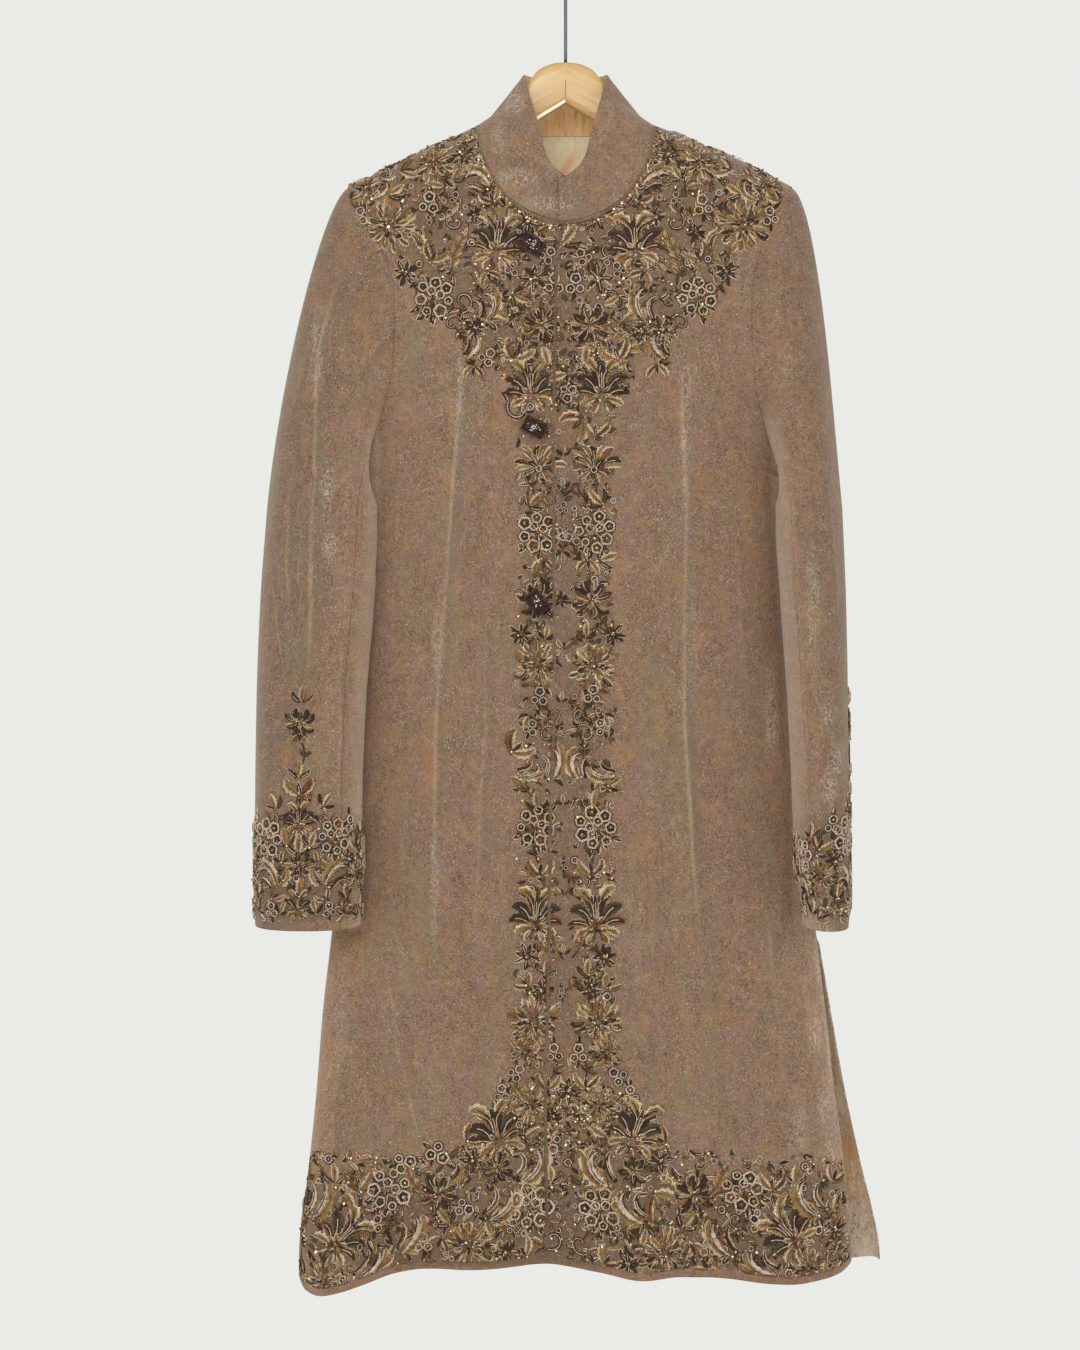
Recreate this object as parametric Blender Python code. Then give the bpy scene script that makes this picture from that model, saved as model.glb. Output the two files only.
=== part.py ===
"""A knee-length velvet sherwani coat hanging on a wooden coat hanger.

The frame is in metres with +Z up. The viewer stands on the -Y side, so the coat's front faces -Y,
and "left" and "right" are the viewer's. The origin is the top of the inside of the hanger's hook,
where a rail carries it. Tables and named sizes are in millimetres.
"""

import math

import bmesh
import bpy
import numpy as np
from mathutils import Matrix, Vector

MM = 0.001

# Cloth, in mm
CLOTH = 1.8             # velvet with its interlining
COLLAR_CLOTH = 2.6      # the stiffened stand collar
LINING_CLOTH = 1.0
SEAM = 0.36             # clear space between two pieces that are sewn together
SLEEVE_SEAM = 1.2       # the same at the armholes, where the two pieces meet at an angle
COLLAR_SEAM = 1.2
LAYER = 0.45            # clear space between two layers that lie on each other
EMBROIDERY = 1.1        # how far the padded embroidery stands above the velvet
FLOWER = 1.5            # how much further the middle of a large flower stands

# Heights, in mm below the hook's inside
NECK_POINT = -172.0     # where shoulder seam and collar meet
NECK_BASE = -267.0      # the collar seam at the centre front
BACK_NECK = -173.5
NECK_WIDTH = 78.0       # half the neckline's width
SHOULDER_TIP = -228.0
UNDERARM = -490.0
SLIT_TOP = -908.0
HEM = -1186.0           # the hem's usual height; HEM_FRONT gives its real line
HEM_START = -900.0      # below this the rows follow the hem

# The body's outline at each height: half-widths on each side, depth in front of and behind the
# middle plane, the middle plane's place, and how square the section is (2 is an ellipse).
# Between the shoulder tip and the underarm the widths run on into the sleeve head.
BODY = dict(
    z=(-172, -181, -193, -205, -220, -228, -243, -270, -300, -364, -400, -436, -463, -490,
       -520, -600, -700, -800, -905, -960, -1030, -1102, -1138, -1175, -1225),
    left=(79, 97, 123, 150, 179, 196, 211, 222, 226, 220, 210, 199.5, 192, 185.5,
          181, 182, 189, 198.5, 211, 218, 224, 232, 237, 239, 239),
    right=(79, 102, 131, 160, 188, 204, 216, 225, 228, 223, 215, 206.5, 200, 195,
           192, 195, 204, 213.5, 226, 233, 241, 250, 254, 256, 256),
    front=(44, 47, 52, 56, 60, 62, 65, 69, 73, 78, 80, 80, 79, 78,
           77, 72, 66, 62, 58, 57, 57, 58, 59, 60, 60),
    back=(45, 48, 52, 55, 58, 60, 62, 64, 66, 68, 68, 68, 67, 66,
          65, 62, 58, 56, 54, 54, 54, 55, 55, 56, 56),
    middle=(0, 0, 0, 0, 1, 1, 2, 3, 4, 6, 8, 9, 10, 10,
            10, 8, 6, 4, 2, 2, 1, 0, 0, 0, 0),
    square=(2.0, 2.0, 2.05, 2.1, 2.15, 2.2, 2.2, 2.25, 2.3, 2.4, 2.45, 2.5, 2.55, 2.6,
            2.6, 2.7, 2.8, 2.9, 3.0, 3.0, 3.0, 3.0, 3.0, 3.0, 3.0),
)
# Below the slits the back panel is cut wider than the fronts on the right.
BACK_FLARE = dict(z=(-905, -960, -1030, -1102, -1138, -1175, -1225), left=(0, -1, -2, -3, -3, -3, -3),
                  right=(2, 5, 10, 17, 22, 27, 30))

# Where the armhole seams run, as a share of the half-width at that height
ARMHOLE = dict(
    z=(-228, -235, -243, -270, -300, -328, -364, -400, -430, -455, -475, -490),
    left=(1.0, 0.925, 0.86, 0.755, 0.695, 0.675, 0.685, 0.73, 0.80, 0.875, 0.945, 1.0),
    right=(1.0, 0.935, 0.88, 0.79, 0.74, 0.722, 0.735, 0.77, 0.825, 0.885, 0.945, 1.0),
    back=(1.0, 0.955, 0.91, 0.83, 0.78, 0.76, 0.77, 0.80, 0.85, 0.90, 0.95, 1.0),
)

# The hem's real line, and the lines of the two front edges
HEM_FRONT = dict(x=(-240, -232, -219, -200, -178, -150, -122, -90, -60, -16, 30, 68, 100, 140, 180, 203, 228, 243, 257),
                 z=(-1199, -1212, -1216, -1212, -1204, -1193, -1188, -1190, -1189, -1185, -1192, -1199, -1196,
                    -1198, -1203, -1204, -1201, -1197, -1188))
HEM_BACK = dict(x=(-240, -180, -90, 0, 90, 180, 240, 288), z=(-1200, -1194, -1198, -1192, -1198, -1194, -1200, -1192))
RIGHT_EDGE = dict(z=(-267, -290, -328, -500, -690, -770, -950, -1040, -1190), x=(-1, -7, -9, -11, -10, -13, -16, -18, -16))
LEFT_EDGE = dict(z=(-267, -285, -320, -1190), x=(0, 14, 24, 26))

# Soft vertical folds: where each one runs at its top and foot, how wide it is and how far it stands out
FOLDS_FRONT = (
    # top z, foot z, x at the top, x at the foot, half width, height
    (-380, -900, -95, -119, 11, 3.0),
    (-640, -1060, -69, -74, 16, 1.8),
    (-860, -1200, -158, -128, 16, 3.4),
    (-880, -1230, -214, -222, 24, 4.0),
    (-940, -1230, -45, -40, 30, -4.0),
    (-440, -960, 108, 114, 11, 3.2),
    (-820, -1220, 62, 68, 30, 4.2),
    (-860, -1220, 128, 122, 20, -3.4),
    (-800, -1220, 172, 198, 24, 3.6),
)
FOLDS_BACK = (
    (-560, -1230, -96, -126, 26, 5.0),
    (-820, -1230, -190, -200, 22, 4.0),
    (-620, -1230, 20, 8, 24, 4.4),
    (-520, -1230, 100, 142, 26, 5.0),
    (-860, -1230, 196, 232, 22, 4.0),
)

# Rings down each sleeve below the armhole: the outer and inner sides, the middle plane and half the depth
SLEEVE_LEFT = dict(z=(-520, -600, -690, -780, -868, -893), outer=(-267, -272, -274.5, -275, -275, -274),
                   inner=(-167, -172, -180, -183, -181, -182), middle=(-14, -24, -34, -42, -47, -48),
                   depth=(68, 63, 58, 54, 48, 46), square=(2.2, 2.2, 2.25, 2.3, 2.3, 2.3))
SLEEVE_RIGHT = dict(z=(-520, -600, -690, -780, -868, -893), outer=(246.5, 249, 250, 250.5, 250.5, 249),
                    inner=(190, 196, 202, 206, 209, 210), middle=(-14, -22, -30, -36, -40, -41),
                    depth=(76, 73, 67, 61, 55, 53), square=(2.2, 2.2, 2.25, 2.3, 2.3, 2.3))
BICEP = -520.0
CUFF = -886.0
CUFF_BORDER = (765.0, 805.0)   # the embroidered cuff begins between these depths
CUFF_SLOPE = 0.06       # the cuff's hem falls towards the front, in mm per mm
SLEEVE_CLEAR = 3.2      # between a sleeve and the body's side
UNDER_SLEEVE = (0.34, 0.67)   # the under sleeve's share of the ring, from the front seam to the back seam

# The collar's top edge from the centre front round one side to the centre back
COLLAR_TOP = dict(v=(0.0, 0.10, 0.22, 0.34, 0.46, 0.58, 0.72, 0.86, 1.0),
                  x=(0, 9, 17.5, 23, 30, 38.5, 36, 22, 0), y=(-62, -58, -49, -37, -22, -2, 18, 30, 34),
                  z=(-230, -222, -205, -181, -155, -129, -127, -128, -129))
COLLAR_LAP = 11.0       # how far the collar's two ends lie over each other
COLLAR_HOLLOW = 2.0     # the band is a little hollow between its seam and its top edge
COLLAR_RISE = (0.0, 0.18, 0.4, 0.62, 0.82, 1.0)

# Wooden hanger: down one arm, its top and bottom edges and half its thickness. From the shoulder
# seam on, top is measured from the height at which the arm carries the seam.
ARM = dict(x=(0.2, 8, 16, 24, 32, 40, 50, 60, 72, 88, 110, 132, 154, 174, 184, 189),
           top=(-115, -115.6, -117.6, -121.5, -131.5, -147, -160, -172, -181, 0, 0, 0, 0, 0, -1, -5),
           bottom=(-152, -157, -162, -167, -172, -178, -185, -192, -199, -206, -214, -222, -230, -237, -241, -240),
           thick=(7, 7, 7, 7, 7, 7.2, 7.6, 8, 8.6, 9.4, 10.4, 11.4, 12.2, 12.6, 11.5, 7))
ARM_CARRIES = 80.0      # the arm touches the coat's shoulder from here out
WOOD_GAP = 0.8
WOOD_SQUARE = 4.0
HOOK_WIRE = 1.5         # radius
HOOK_BEND = 19.0        # radius of the bend
HOOK_SHANK = (-114.6, -100.0, -80.0, -62.0, -54.0)
HOOK_NECK = ((0.8, -49.0), (3.2, -44.0), (6.6, -39.4))
HOOK_TURN = (-58.0, 250.0)   # the bend starts at this angle and turns this far

# The beaded buttons: place across and down the left front, and turn
BUTTONS = ((-30.5, -288.5, 34.0), (-28.0, -448.5, 28.0), (-25.5, -602.0, 52.0))
BUTTON_SIZE = (21.0, 14.5, 5.5)
BUTTON_GAP = 0.4
BUTTON_REACH = 17.0     # a button clears the panel's points within this distance

# The padded embroidery: how far across it reaches from the centre at each height, then its large flowers
YOKE = dict(z=(-172, -205, -225, -262, -290, -336, -360, -385, -410, -430, -480, -1000, -1040, -1085, -1095, -1235),
            reach=(240, 240, 200, 168, 150, 130, 96, 60, 46, 42, 44, 44, 56, 95, 260, 260))
FLOWERS = (
    # across from the centre, height, radius; each is on both fronts
    (24, -360, 15), (32, -408, 23), (166, -266, 21), (128, -334, 22), (74, -282, 20), (84, -335, 20),
    (22, -475, 14), (22, -540, 17), (22, -601, 18), (20, -655, 20), (26, -746, 19), (20, -800, 20),
    (30, -875, 24), (28, -972, 19), (60, -1062, 24), (40, -1128, 22), (178, -1120, 22), (150, -1160, 24),
    (110, -1124, 20), (96, -1156, 18), (206, -1158, 16),
)


def smooth(table, column, at, key="z"):
    """A column of a table at any height, on a smooth curve through its rows that never overshoots."""
    keys, values = np.array(table[key], float), np.array(table[column], float)
    if keys[0] > keys[-1]:
        keys, values = keys[::-1], values[::-1]
    at = float(np.clip(at, keys[0], keys[-1]))
    i = int(np.clip(np.searchsorted(keys, at) - 1, 0, len(keys) - 2))
    slopes = np.diff(values) / np.diff(keys)

    def tangent(k):
        if k in (0, len(keys) - 1):
            return slopes[min(k, len(slopes) - 1)]
        before, after = slopes[k - 1], slopes[k]
        return 0.0 if before * after <= 0 else 2 * before * after / (before + after)

    step = keys[i + 1] - keys[i]
    t = (at - keys[i]) / step
    return float((1 + 2 * t) * (1 - t) ** 2 * values[i] + t * (1 - t) ** 2 * step * tangent(i)
                 + t * t * (3 - 2 * t) * values[i + 1] + t * t * (t - 1) * step * tangent(i + 1))


def ramp(value, start, end):
    """0 before start and 1 after end, easing in between."""
    t = min(1.0, max(0.0, (value - start) / (end - start)))
    return t * t * (3 - 2 * t)


def half_width(z, side, behind=False):
    width = smooth(BODY, "left" if side < 0 else "right", z)
    if behind and z < BACK_FLARE["z"][0]:
        width += smooth(BACK_FLARE, "left" if side < 0 else "right", z)
    return width


def fold_height(folds, x, z):
    """How far the folds stand out at a place."""
    total = 0.0
    for top, foot, x_top, x_foot, width, height in folds:
        along = min(1.0, max(0.0, (top - z) / (top - foot)))
        centre = x_top + (x_foot - x_top) * along
        total += height * ramp(along, 0.0, 0.35) * math.exp(-(((x - centre) / width) ** 2))
    return total


def body_y(x, z, behind=False):
    """The cloth's outer face on the body: its y at a place, and the share of the half-width there."""
    side = -1 if x < 0 else 1
    share = min(1.0, abs(x) / half_width(z, side, behind))
    square = smooth(BODY, "square", z)
    bulge = (1 - share ** square) ** (1 / square)
    middle = smooth(BODY, "middle", z)
    opened = 7.0 * ramp(-z, -SLIT_TOP, 1190) * share ** 4
    if behind:
        return middle + opened + smooth(BODY, "back", z) * bulge + fold_height(FOLDS_BACK, x, z) * bulge
    return middle - opened - smooth(BODY, "front", z) * bulge - fold_height(FOLDS_FRONT, x, z) * bulge


def along_section(z, x_from, x_to, shares, behind=False):
    """Points on the body's section at height z from x_from to x_to, at shares of the length of the way.

    Where x_to stops short of the body's side, only the outer points draw in, so the columns of a
    panel run straight down past its armhole.
    """
    side = 1 if x_to > 0 else -1
    width = half_width(z, side, behind)
    xs = side * width * np.sin(np.linspace(math.asin(max(-1.0, side * x_from / width)), math.pi / 2, 120))
    line = np.array([(x, body_y(x, z, behind)) for x in xs])
    length = np.concatenate([[0], np.cumsum(np.hypot(*np.diff(line, axis=0).T))])
    kept = np.interp(side * x_to, side * line[:, 0], length) / length[-1]
    shares = np.array(shares)
    wanted = shares * length[-1] / (1 + (1 / kept - 1) * shares ** 1.6)
    return np.stack([np.interp(wanted, length, line[:, 0]), np.interp(wanted, length, line[:, 1])], axis=1)


def hem_row(x, z, hem):
    """Moves a row's height towards the real hem line as it nears the hem."""
    weight = max(0.0, (HEM_START - z) / (HEM_START - HEM))
    return z + weight * (smooth(hem, "z", x, key="x") - HEM)


def normals_of(grid, outward=1, seams=(), ring=False):
    """Unit normals of a grid of points, by differences along its rows and columns.

    outward turns them to the cloth's right side. On the columns named in seams they lie across the
    seam, with no part along Y, and a ring's first and last columns are neighbours.
    """
    across = np.roll(grid, -1, axis=1) - np.roll(grid, 1, axis=1) if ring else np.gradient(grid, axis=1)
    normal = np.cross(np.gradient(grid, axis=0), across) * outward
    for column, rows in seams:
        normal[rows, column, 1] = 0.0
    return normal / np.maximum(np.linalg.norm(normal, axis=2, keepdims=True), 1e-12)


def material(name, colour, roughness, metallic=0.0):
    made = bpy.data.materials.new(name)
    made.use_nodes = True
    shader = made.node_tree.nodes["Principled BSDF"]
    shader.inputs["Base Color"].default_value = (*colour, 1.0)
    shader.inputs["Roughness"].default_value = roughness
    shader.inputs["Metallic"].default_value = metallic
    return made


def finish(name, bm, collection, finish_material):
    """Turns a bmesh in millimetres into a smooth-shaded object of the collection."""
    bmesh.ops.scale(bm, vec=(MM, MM, MM), verts=bm.verts)
    mesh = bpy.data.meshes.new(name)
    bm.to_mesh(mesh)
    bm.free()
    mesh.materials.append(finish_material)
    mesh.shade_smooth()
    mesh.set_sharp_from_angle(angle=math.radians(40))
    made = bpy.data.objects.new(name, mesh)
    collection.objects.link(made)
    return made


def wall(name, grid, normals, thickness, collection, cloth, relief=None):
    """A sheet of cloth of even thickness whose outer face runs through a grid of points.

    normals point out of the cloth's right side, and relief raises the outer face alone.
    """
    outer = grid if relief is None else grid + normals * relief[:, :, None]
    inner = grid - normals * thickness
    bm = bmesh.new()
    skins = [[[bm.verts.new(point) for point in row] for row in skin] for skin in (outer, inner)]
    rows, columns = grid.shape[:2]
    for skin, flip in zip(skins, (False, True)):
        for i in range(rows - 1):
            for j in range(columns - 1):
                corners = [skin[i][j], skin[i + 1][j], skin[i + 1][j + 1], skin[i][j + 1]]
                bm.faces.new(corners[::-1] if flip else corners)
    border = [(0, j) for j in range(columns)] + [(i, columns - 1) for i in range(1, rows)]
    border += [(rows - 1, j) for j in range(columns - 2, -1, -1)] + [(i, 0) for i in range(rows - 2, 0, -1)]
    for (i, j), (k, m) in zip(border, border[1:] + border[:1]):
        bm.faces.new((skins[0][i][j], skins[0][k][m], skins[1][k][m], skins[1][i][j]))
    bmesh.ops.recalc_face_normals(bm, faces=bm.faces)
    return finish(name, bm, collection, cloth)


def loft(name, rings, collection, finish_material):
    """A solid through closed rings, with a flat cap at each end."""
    bm = bmesh.new()
    made = [[bm.verts.new(point) for point in ring] for ring in rings]
    for ring, following in zip(made, made[1:]):
        for j in range(len(ring)):
            k = (j + 1) % len(ring)
            bm.faces.new((ring[j], ring[k], following[k], following[j]))
    bm.faces.new(made[0][::-1])
    bm.faces.new(made[-1])
    bmesh.ops.recalc_face_normals(bm, faces=bm.faces)
    return finish(name, bm, collection, finish_material)


def embroidery_relief(side, x, z):
    """How far the padded embroidery raises the front at a place."""
    across = side * x
    reach = smooth(YOKE, "reach", z)
    height = EMBROIDERY * ramp(reach - across, 0.0, 10.0)
    for flower_x, flower_z, radius in FLOWERS:
        away = math.hypot(across - flower_x, z - flower_z) / radius
        if away < 1:
            height += FLOWER * (1 - away ** 2) ** 2
    return height


# Rows down the body, and shares of the way round a front panel from its front edge to its side
NECK_ROWS = (-173.2, -180, -190, -202, -215, -228, -239, -250, -259, -264.5, -266.99)
FRONT_ROWS = (-280, -300, -322, -345, -370, -395, -415, -432, -448, -463, -477, -490, -508, -530, -558, -592, -626, -660,
              -695, -730, -765, -800, -835, -870, -905, -940, -975, -1010, -1045, -1075, -1105, -1135, -1160, HEM)
FRONT_SHARES = (0, 0.045, 0.09, 0.14, 0.19, 0.245, 0.305, 0.37, 0.435, 0.5, 0.57, 0.64, 0.71, 0.78, 0.85, 0.92, 1)
BACK_ROWS = (BACK_NECK, -182, -190, -202, -215, -228, -236, -250, -275, -305, -335, -368, -400, -428, -452, -472, -490,
             -515, -545, -580, -620, -665, -710, -755, -800, -850, -900, -950, -1000, -1050, -1095, -1140, HEM)
BACK_STEPS = 21
LINING_PATCH = (slice(1, 11), slice(5, 16))   # the back's points that carry the lining
SEAM_SHARE = 0.5        # half the clear space at a seam belongs to each side


def outer_share(z, which):
    """Where a panel ends, as a share of the half-width: on the ridge, at the armhole or at the side."""
    if z >= SHOULDER_TIP or z <= UNDERARM:
        return 1.0
    return smooth(ARMHOLE, which, z)


def front_panel(side):
    """Grid and relief of one front, from the shoulder to the hem and from the front edge to the side."""
    edge = RIGHT_EDGE if side > 0 else LEFT_EDGE
    rows = []
    for z in NECK_ROWS:
        rows.append((z, side * NECK_WIDTH * math.sqrt(1 - ((z - NECK_POINT) / (NECK_BASE - NECK_POINT)) ** 2)))
    rows += [(z, smooth(edge, "x", z)) for z in FRONT_ROWS]
    grid, relief = [], []
    for z, x_from in rows:
        x_to = side * half_width(z, side) * outer_share(z, "left" if side < 0 else "right")
        points, heights = [], []
        for x, y in along_section(z, x_from, x_to, FRONT_SHARES):
            share = abs(x) / half_width(z, side)
            y -= SEAM * SEAM_SHARE * ramp(share, 0.97, 1.0)
            covered = ramp(x, smooth(RIGHT_EDGE, "x", z) - 30, smooth(RIGHT_EDGE, "x", z) - 8) if side < 0 else 0.0
            y += covered * (CLOTH + LAYER)
            row_z = hem_row(x, z, HEM_FRONT)
            points.append((x, y, row_z))
            plain_edge = ramp(z, HEM, HEM + 14) * ramp(1 - share, 0.0, 0.03) if z < UNDERARM else ramp(1 - share, 0, 0.05)
            heights.append(embroidery_relief(side, x, z) * (1 - covered) * plain_edge)
        grid.append(points)
        relief.append(heights)
    grid = np.array(grid)
    seam_rows = [i for i, row in enumerate(rows) if not UNDERARM < row[0] < SHOULDER_TIP]
    return grid, normals_of(grid, outward=side, seams=[(-1, seam_rows)]), np.array(relief)


def back_panel():
    grid = []
    for z in BACK_ROWS:
        points = []
        for side in (-1, 1):
            shares = np.linspace(0, 1, BACK_STEPS // 2 + 1)
            x_to = side * half_width(z, side, True) * outer_share(z, "back")
            half = [(x, y, hem_row(x, z, HEM_BACK)) for x, y in along_section(z, 0.0, x_to, shares, behind=True)]
            half = [(x, y + SEAM * SEAM_SHARE * ramp(abs(x / x_to), 0.97, 1.0), row_z) for x, y, row_z in half]
            points = half[::-1] if side < 0 else points + half[1:]
        grid.append(points)
    grid = np.array(grid)
    seam_rows = [i for i, z in enumerate(BACK_ROWS) if not UNDERARM < z < SHOULDER_TIP]
    return grid, normals_of(grid, outward=-1, seams=[(0, seam_rows), (-1, seam_rows)])


def armhole_loop(side, steps):
    """Points round an armhole: from the shoulder tip down the front seam and up the back seam."""
    halves = []
    for which, behind in (("left" if side < 0 else "right", False), ("back", True)):
        line = []
        for z in np.linspace(SHOULDER_TIP, UNDERARM, 80):
            x = side * half_width(z, side) * smooth(ARMHOLE, which, z)
            line.append((x, body_y(x, z, behind), z))
        line = np.array(line)
        length = np.concatenate([[0], np.cumsum(np.linalg.norm(np.diff(line, axis=0), axis=1))])
        wanted = np.linspace(0, length[-1], steps // 2 + 1)
        halves.append(np.stack([np.interp(wanted, length, line[:, k]) for k in range(3)], axis=1))
    return np.concatenate([halves[0], halves[1][-2:0:-1]])


SLEEVE_STEPS = 28
CAP_STEPS = (0.0, 0.1, 0.22, 0.36, 0.52, 0.68, 0.84)
SLEEVE_ROWS = (BICEP, -555, -590, -630, -675, -720, -765, -805, -845, -877, CUFF)
CAP_LIFT = 0.085        # how far the sleeve head runs on from the armhole before it falls, as a share of the way
CAP_MORE = 0.17         # the same share is this much more at the underarm
CAP_FALL = 0.34


def side_of_body(y, z, side):
    """How far out the body's side lies at a depth y, or None past its front and back."""
    depth = smooth(BODY, "front" if y < smooth(BODY, "middle", z) else "back", z)
    share = abs(y - smooth(BODY, "middle", z)) / depth
    if share >= 1:
        return None
    square = smooth(BODY, "square", z)
    return half_width(z, side) * (1 - share ** square) ** (1 / square)


def sleeve_ring(side, z, steps):
    """A sleeve's ring at height z, from its outer side round its front and inner side to its back."""
    table = SLEEVE_RIGHT if side > 0 else SLEEVE_LEFT
    outer, inner = smooth(table, "outer", z), smooth(table, "inner", z)
    middle, depth = smooth(table, "middle", z), smooth(table, "depth", z)
    square = smooth(table, "square", z)
    ring = []
    for j in range(steps):
        turn = 2 * math.pi * j / steps
        c, s = math.cos(turn), math.sin(turn)
        x = (outer + inner) / 2 + (outer - inner) / 2 * math.copysign(abs(c) ** (2 / square), c)
        y = middle - depth * math.copysign(abs(s) ** (2 / square), s)
        body = side_of_body(y, z, side) if z < UNDERARM else None
        if body is not None and side * x < body + SLEEVE_CLEAR:
            x = side * (body + SLEEVE_CLEAR)
        row_z = z + CUFF_SLOPE * (y - middle) * ramp(-z, -CUFF - 120, -CUFF)
        ring.append((x, y, row_z))
    return np.array(ring)


def sleeve_grid(side):
    """Rows of a whole sleeve from its armhole to its cuff, as rings that start at the top of the shoulder."""
    loop = armhole_loop(side, SLEEVE_STEPS)
    bicep = sleeve_ring(side, BICEP, SLEEVE_STEPS)
    rows = []
    for t in CAP_STEPS:
        row = []
        for j in range(SLEEVE_STEPS):
            under = 1 - abs(1 - 2 * j / SLEEVE_STEPS)      # 0 at the shoulder tip and 1 at the underarm
            leave = Vector((side * (0.93 - 0.5 * under), 0.0, -(0.37 + 0.53 * under))).normalized()
            start = Vector(loop[j]) + leave * SLEEVE_SEAM
            start.x += side * 0.5 * under
            end = Vector(bicep[j])
            reach = (end - start).length
            first = start + leave * reach * (CAP_LIFT + CAP_MORE * under)
            second = end + Vector((-side * 0.09, 0, 1)) * reach * CAP_FALL
            row.append(start * (1 - t) ** 3 + first * 3 * t * (1 - t) ** 2 + second * 3 * t * t * (1 - t) + end * t ** 3)
        rows.append([tuple(point) for point in row])
    rows += [[tuple(point) for point in sleeve_ring(side, z, SLEEVE_STEPS)] for z in SLEEVE_ROWS]
    return np.array(rows)


def sleeve_pieces(side):
    """The top sleeve and the under sleeve, a seam's space apart: each a grid and its normals."""
    grid = sleeve_grid(side)
    normals = normals_of(grid, outward=-side, ring=True)
    first, last = (round(share * SLEEVE_STEPS) for share in UNDER_SLEEVE)
    around = np.arange(last, SLEEVE_STEPS + first + 1) % SLEEVE_STEPS
    top, under = grid[:, around].copy(), grid[:, first:last + 1].copy()
    for piece in (under, top):
        for edge, beside in ((0, 1), (-1, -2)):
            away = piece[:, beside] - piece[:, edge]
            away /= np.linalg.norm(away, axis=1, keepdims=True)
            piece[:, edge] += away * SEAM
    raised = np.array([EMBROIDERY * 0.8 * ramp(-row[:, 2].mean(), *CUFF_BORDER) for row in grid])
    raised[-1] = 0.0
    return ((top, normals[:, around], raised[:, None] * np.ones(len(around))),
            (under, normals[:, first:last + 1], raised[:, None] * np.ones(last + 1 - first)))


def neckline(v):
    """The neckline from the centre front (v 0) past the neck point (v 0.5) to the centre back (v 1), on one side."""
    if v <= 0.5:
        turn = math.radians(90 * (1 - 2 * v))
        x, z = NECK_WIDTH * math.cos(turn), NECK_POINT + (NECK_BASE - NECK_POINT) * math.sin(turn)
        return x, body_y(-x, z), z
    turn = math.radians(90 * (2 * v - 1))
    x, z = NECK_WIDTH * math.cos(turn), NECK_POINT + (BACK_NECK - NECK_POINT) * math.sin(turn)
    return x, body_y(x, z, behind=True), z


COLLAR_STEPS = 15


def collar_grid():
    """The stand collar from its left end, round the back, to its right end, which laps over the left one."""
    half = np.linspace(0, 1, COLLAR_STEPS + 1)
    stations = [(-1, v) for v in half] + [(1, v) for v in half[-2::-1]]
    rows = []
    for level in COLLAR_RISE:
        row = []
        for side, v in stations:
            foot = Vector(neckline(v))
            top = Vector([smooth(COLLAR_TOP, axis, v, key="v") for axis in "xyz"])
            point = (foot + (top - foot).normalized() * COLLAR_SEAM).lerp(top, level)
            outwards = Vector((point.x, point.y, 0)).normalized()
            point -= outwards * COLLAR_HOLLOW * math.sin(math.pi * level) * ramp(v, 0.1, 0.5)
            near = 1 - ramp(v, 0.0, 0.22)
            point.x -= COLLAR_LAP / 2 * near
            if side < 0:
                point.y += (COLLAR_CLOTH + LAYER) * near
            row.append((side * point.x, point.y, point.z))
        rows.append(row)
    return np.array(rows)


def shoulder_inside(x, thick, side):
    """The height of the inside of the shoulder seam over a rail of some thickness."""
    square = smooth(BODY, "square", -205)
    share = (1 - (0.6 * thick / smooth(BODY, "front", -205)) ** square) ** (1 / square)
    heights = np.linspace(SHOULDER_TIP - 14, NECK_POINT, 400)
    widths = np.array([half_width(z, side) for z in heights])
    return float(np.interp(-x / share, -widths, heights)) - CLOTH * 1.12


def hanger_arm(side, collection, wood):
    """One wooden arm, swept from the middle joint to the shoulder's end."""
    rings = []
    for k, x in enumerate(ARM["x"]):
        top, bottom, thick = ARM["top"][k], ARM["bottom"][k], ARM["thick"][k]
        if x > ARM_CARRIES:
            top += shoulder_inside(x, thick, side) - WOOD_GAP
        ring = []
        for j in range(16):
            turn = 2 * math.pi * (j + 0.5) / 16
            c, s = math.cos(turn), math.sin(turn)
            y = thick * math.copysign(abs(c) ** (2 / WOOD_SQUARE), c)
            z = (top + bottom) / 2 + (top - bottom) / 2 * math.copysign(abs(s) ** (2 / WOOD_SQUARE), s)
            ring.append((side * x, y, z))
        rings.append(ring)
    return loft("hanger_arm_left" if side < 0 else "hanger_arm_right", rings, collection, wood)


def hook(collection, steel):
    """The steel hook: a long straight shank and an open round bend whose top is above the shank."""
    path = [(0.0, 0.0, z) for z in HOOK_SHANK] + [(x, 0.0, z) for x, z in HOOK_NECK]
    start, sweep = (math.radians(angle) for angle in HOOK_TURN)
    for k in range(21):
        turn = start + sweep * k / 20
        path.append((HOOK_BEND * math.cos(turn), 0.0, HOOK_WIRE - HOOK_BEND + HOOK_BEND * math.sin(turn)))
    curve = bpy.data.curves.new("hook", "CURVE")
    curve.dimensions = "3D"
    curve.bevel_depth = HOOK_WIRE * MM
    curve.bevel_resolution = 2
    curve.use_fill_caps = True
    curve.materials.append(steel)
    spline = curve.splines.new("POLY")
    spline.points.add(len(path) - 1)
    for point, place in zip(spline.points, path):
        point.co = (place[0] * MM, place[1] * MM, place[2] * MM, 1.0)
    made = bpy.data.objects.new("hook", curve)
    collection.objects.link(made)
    return made


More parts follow.
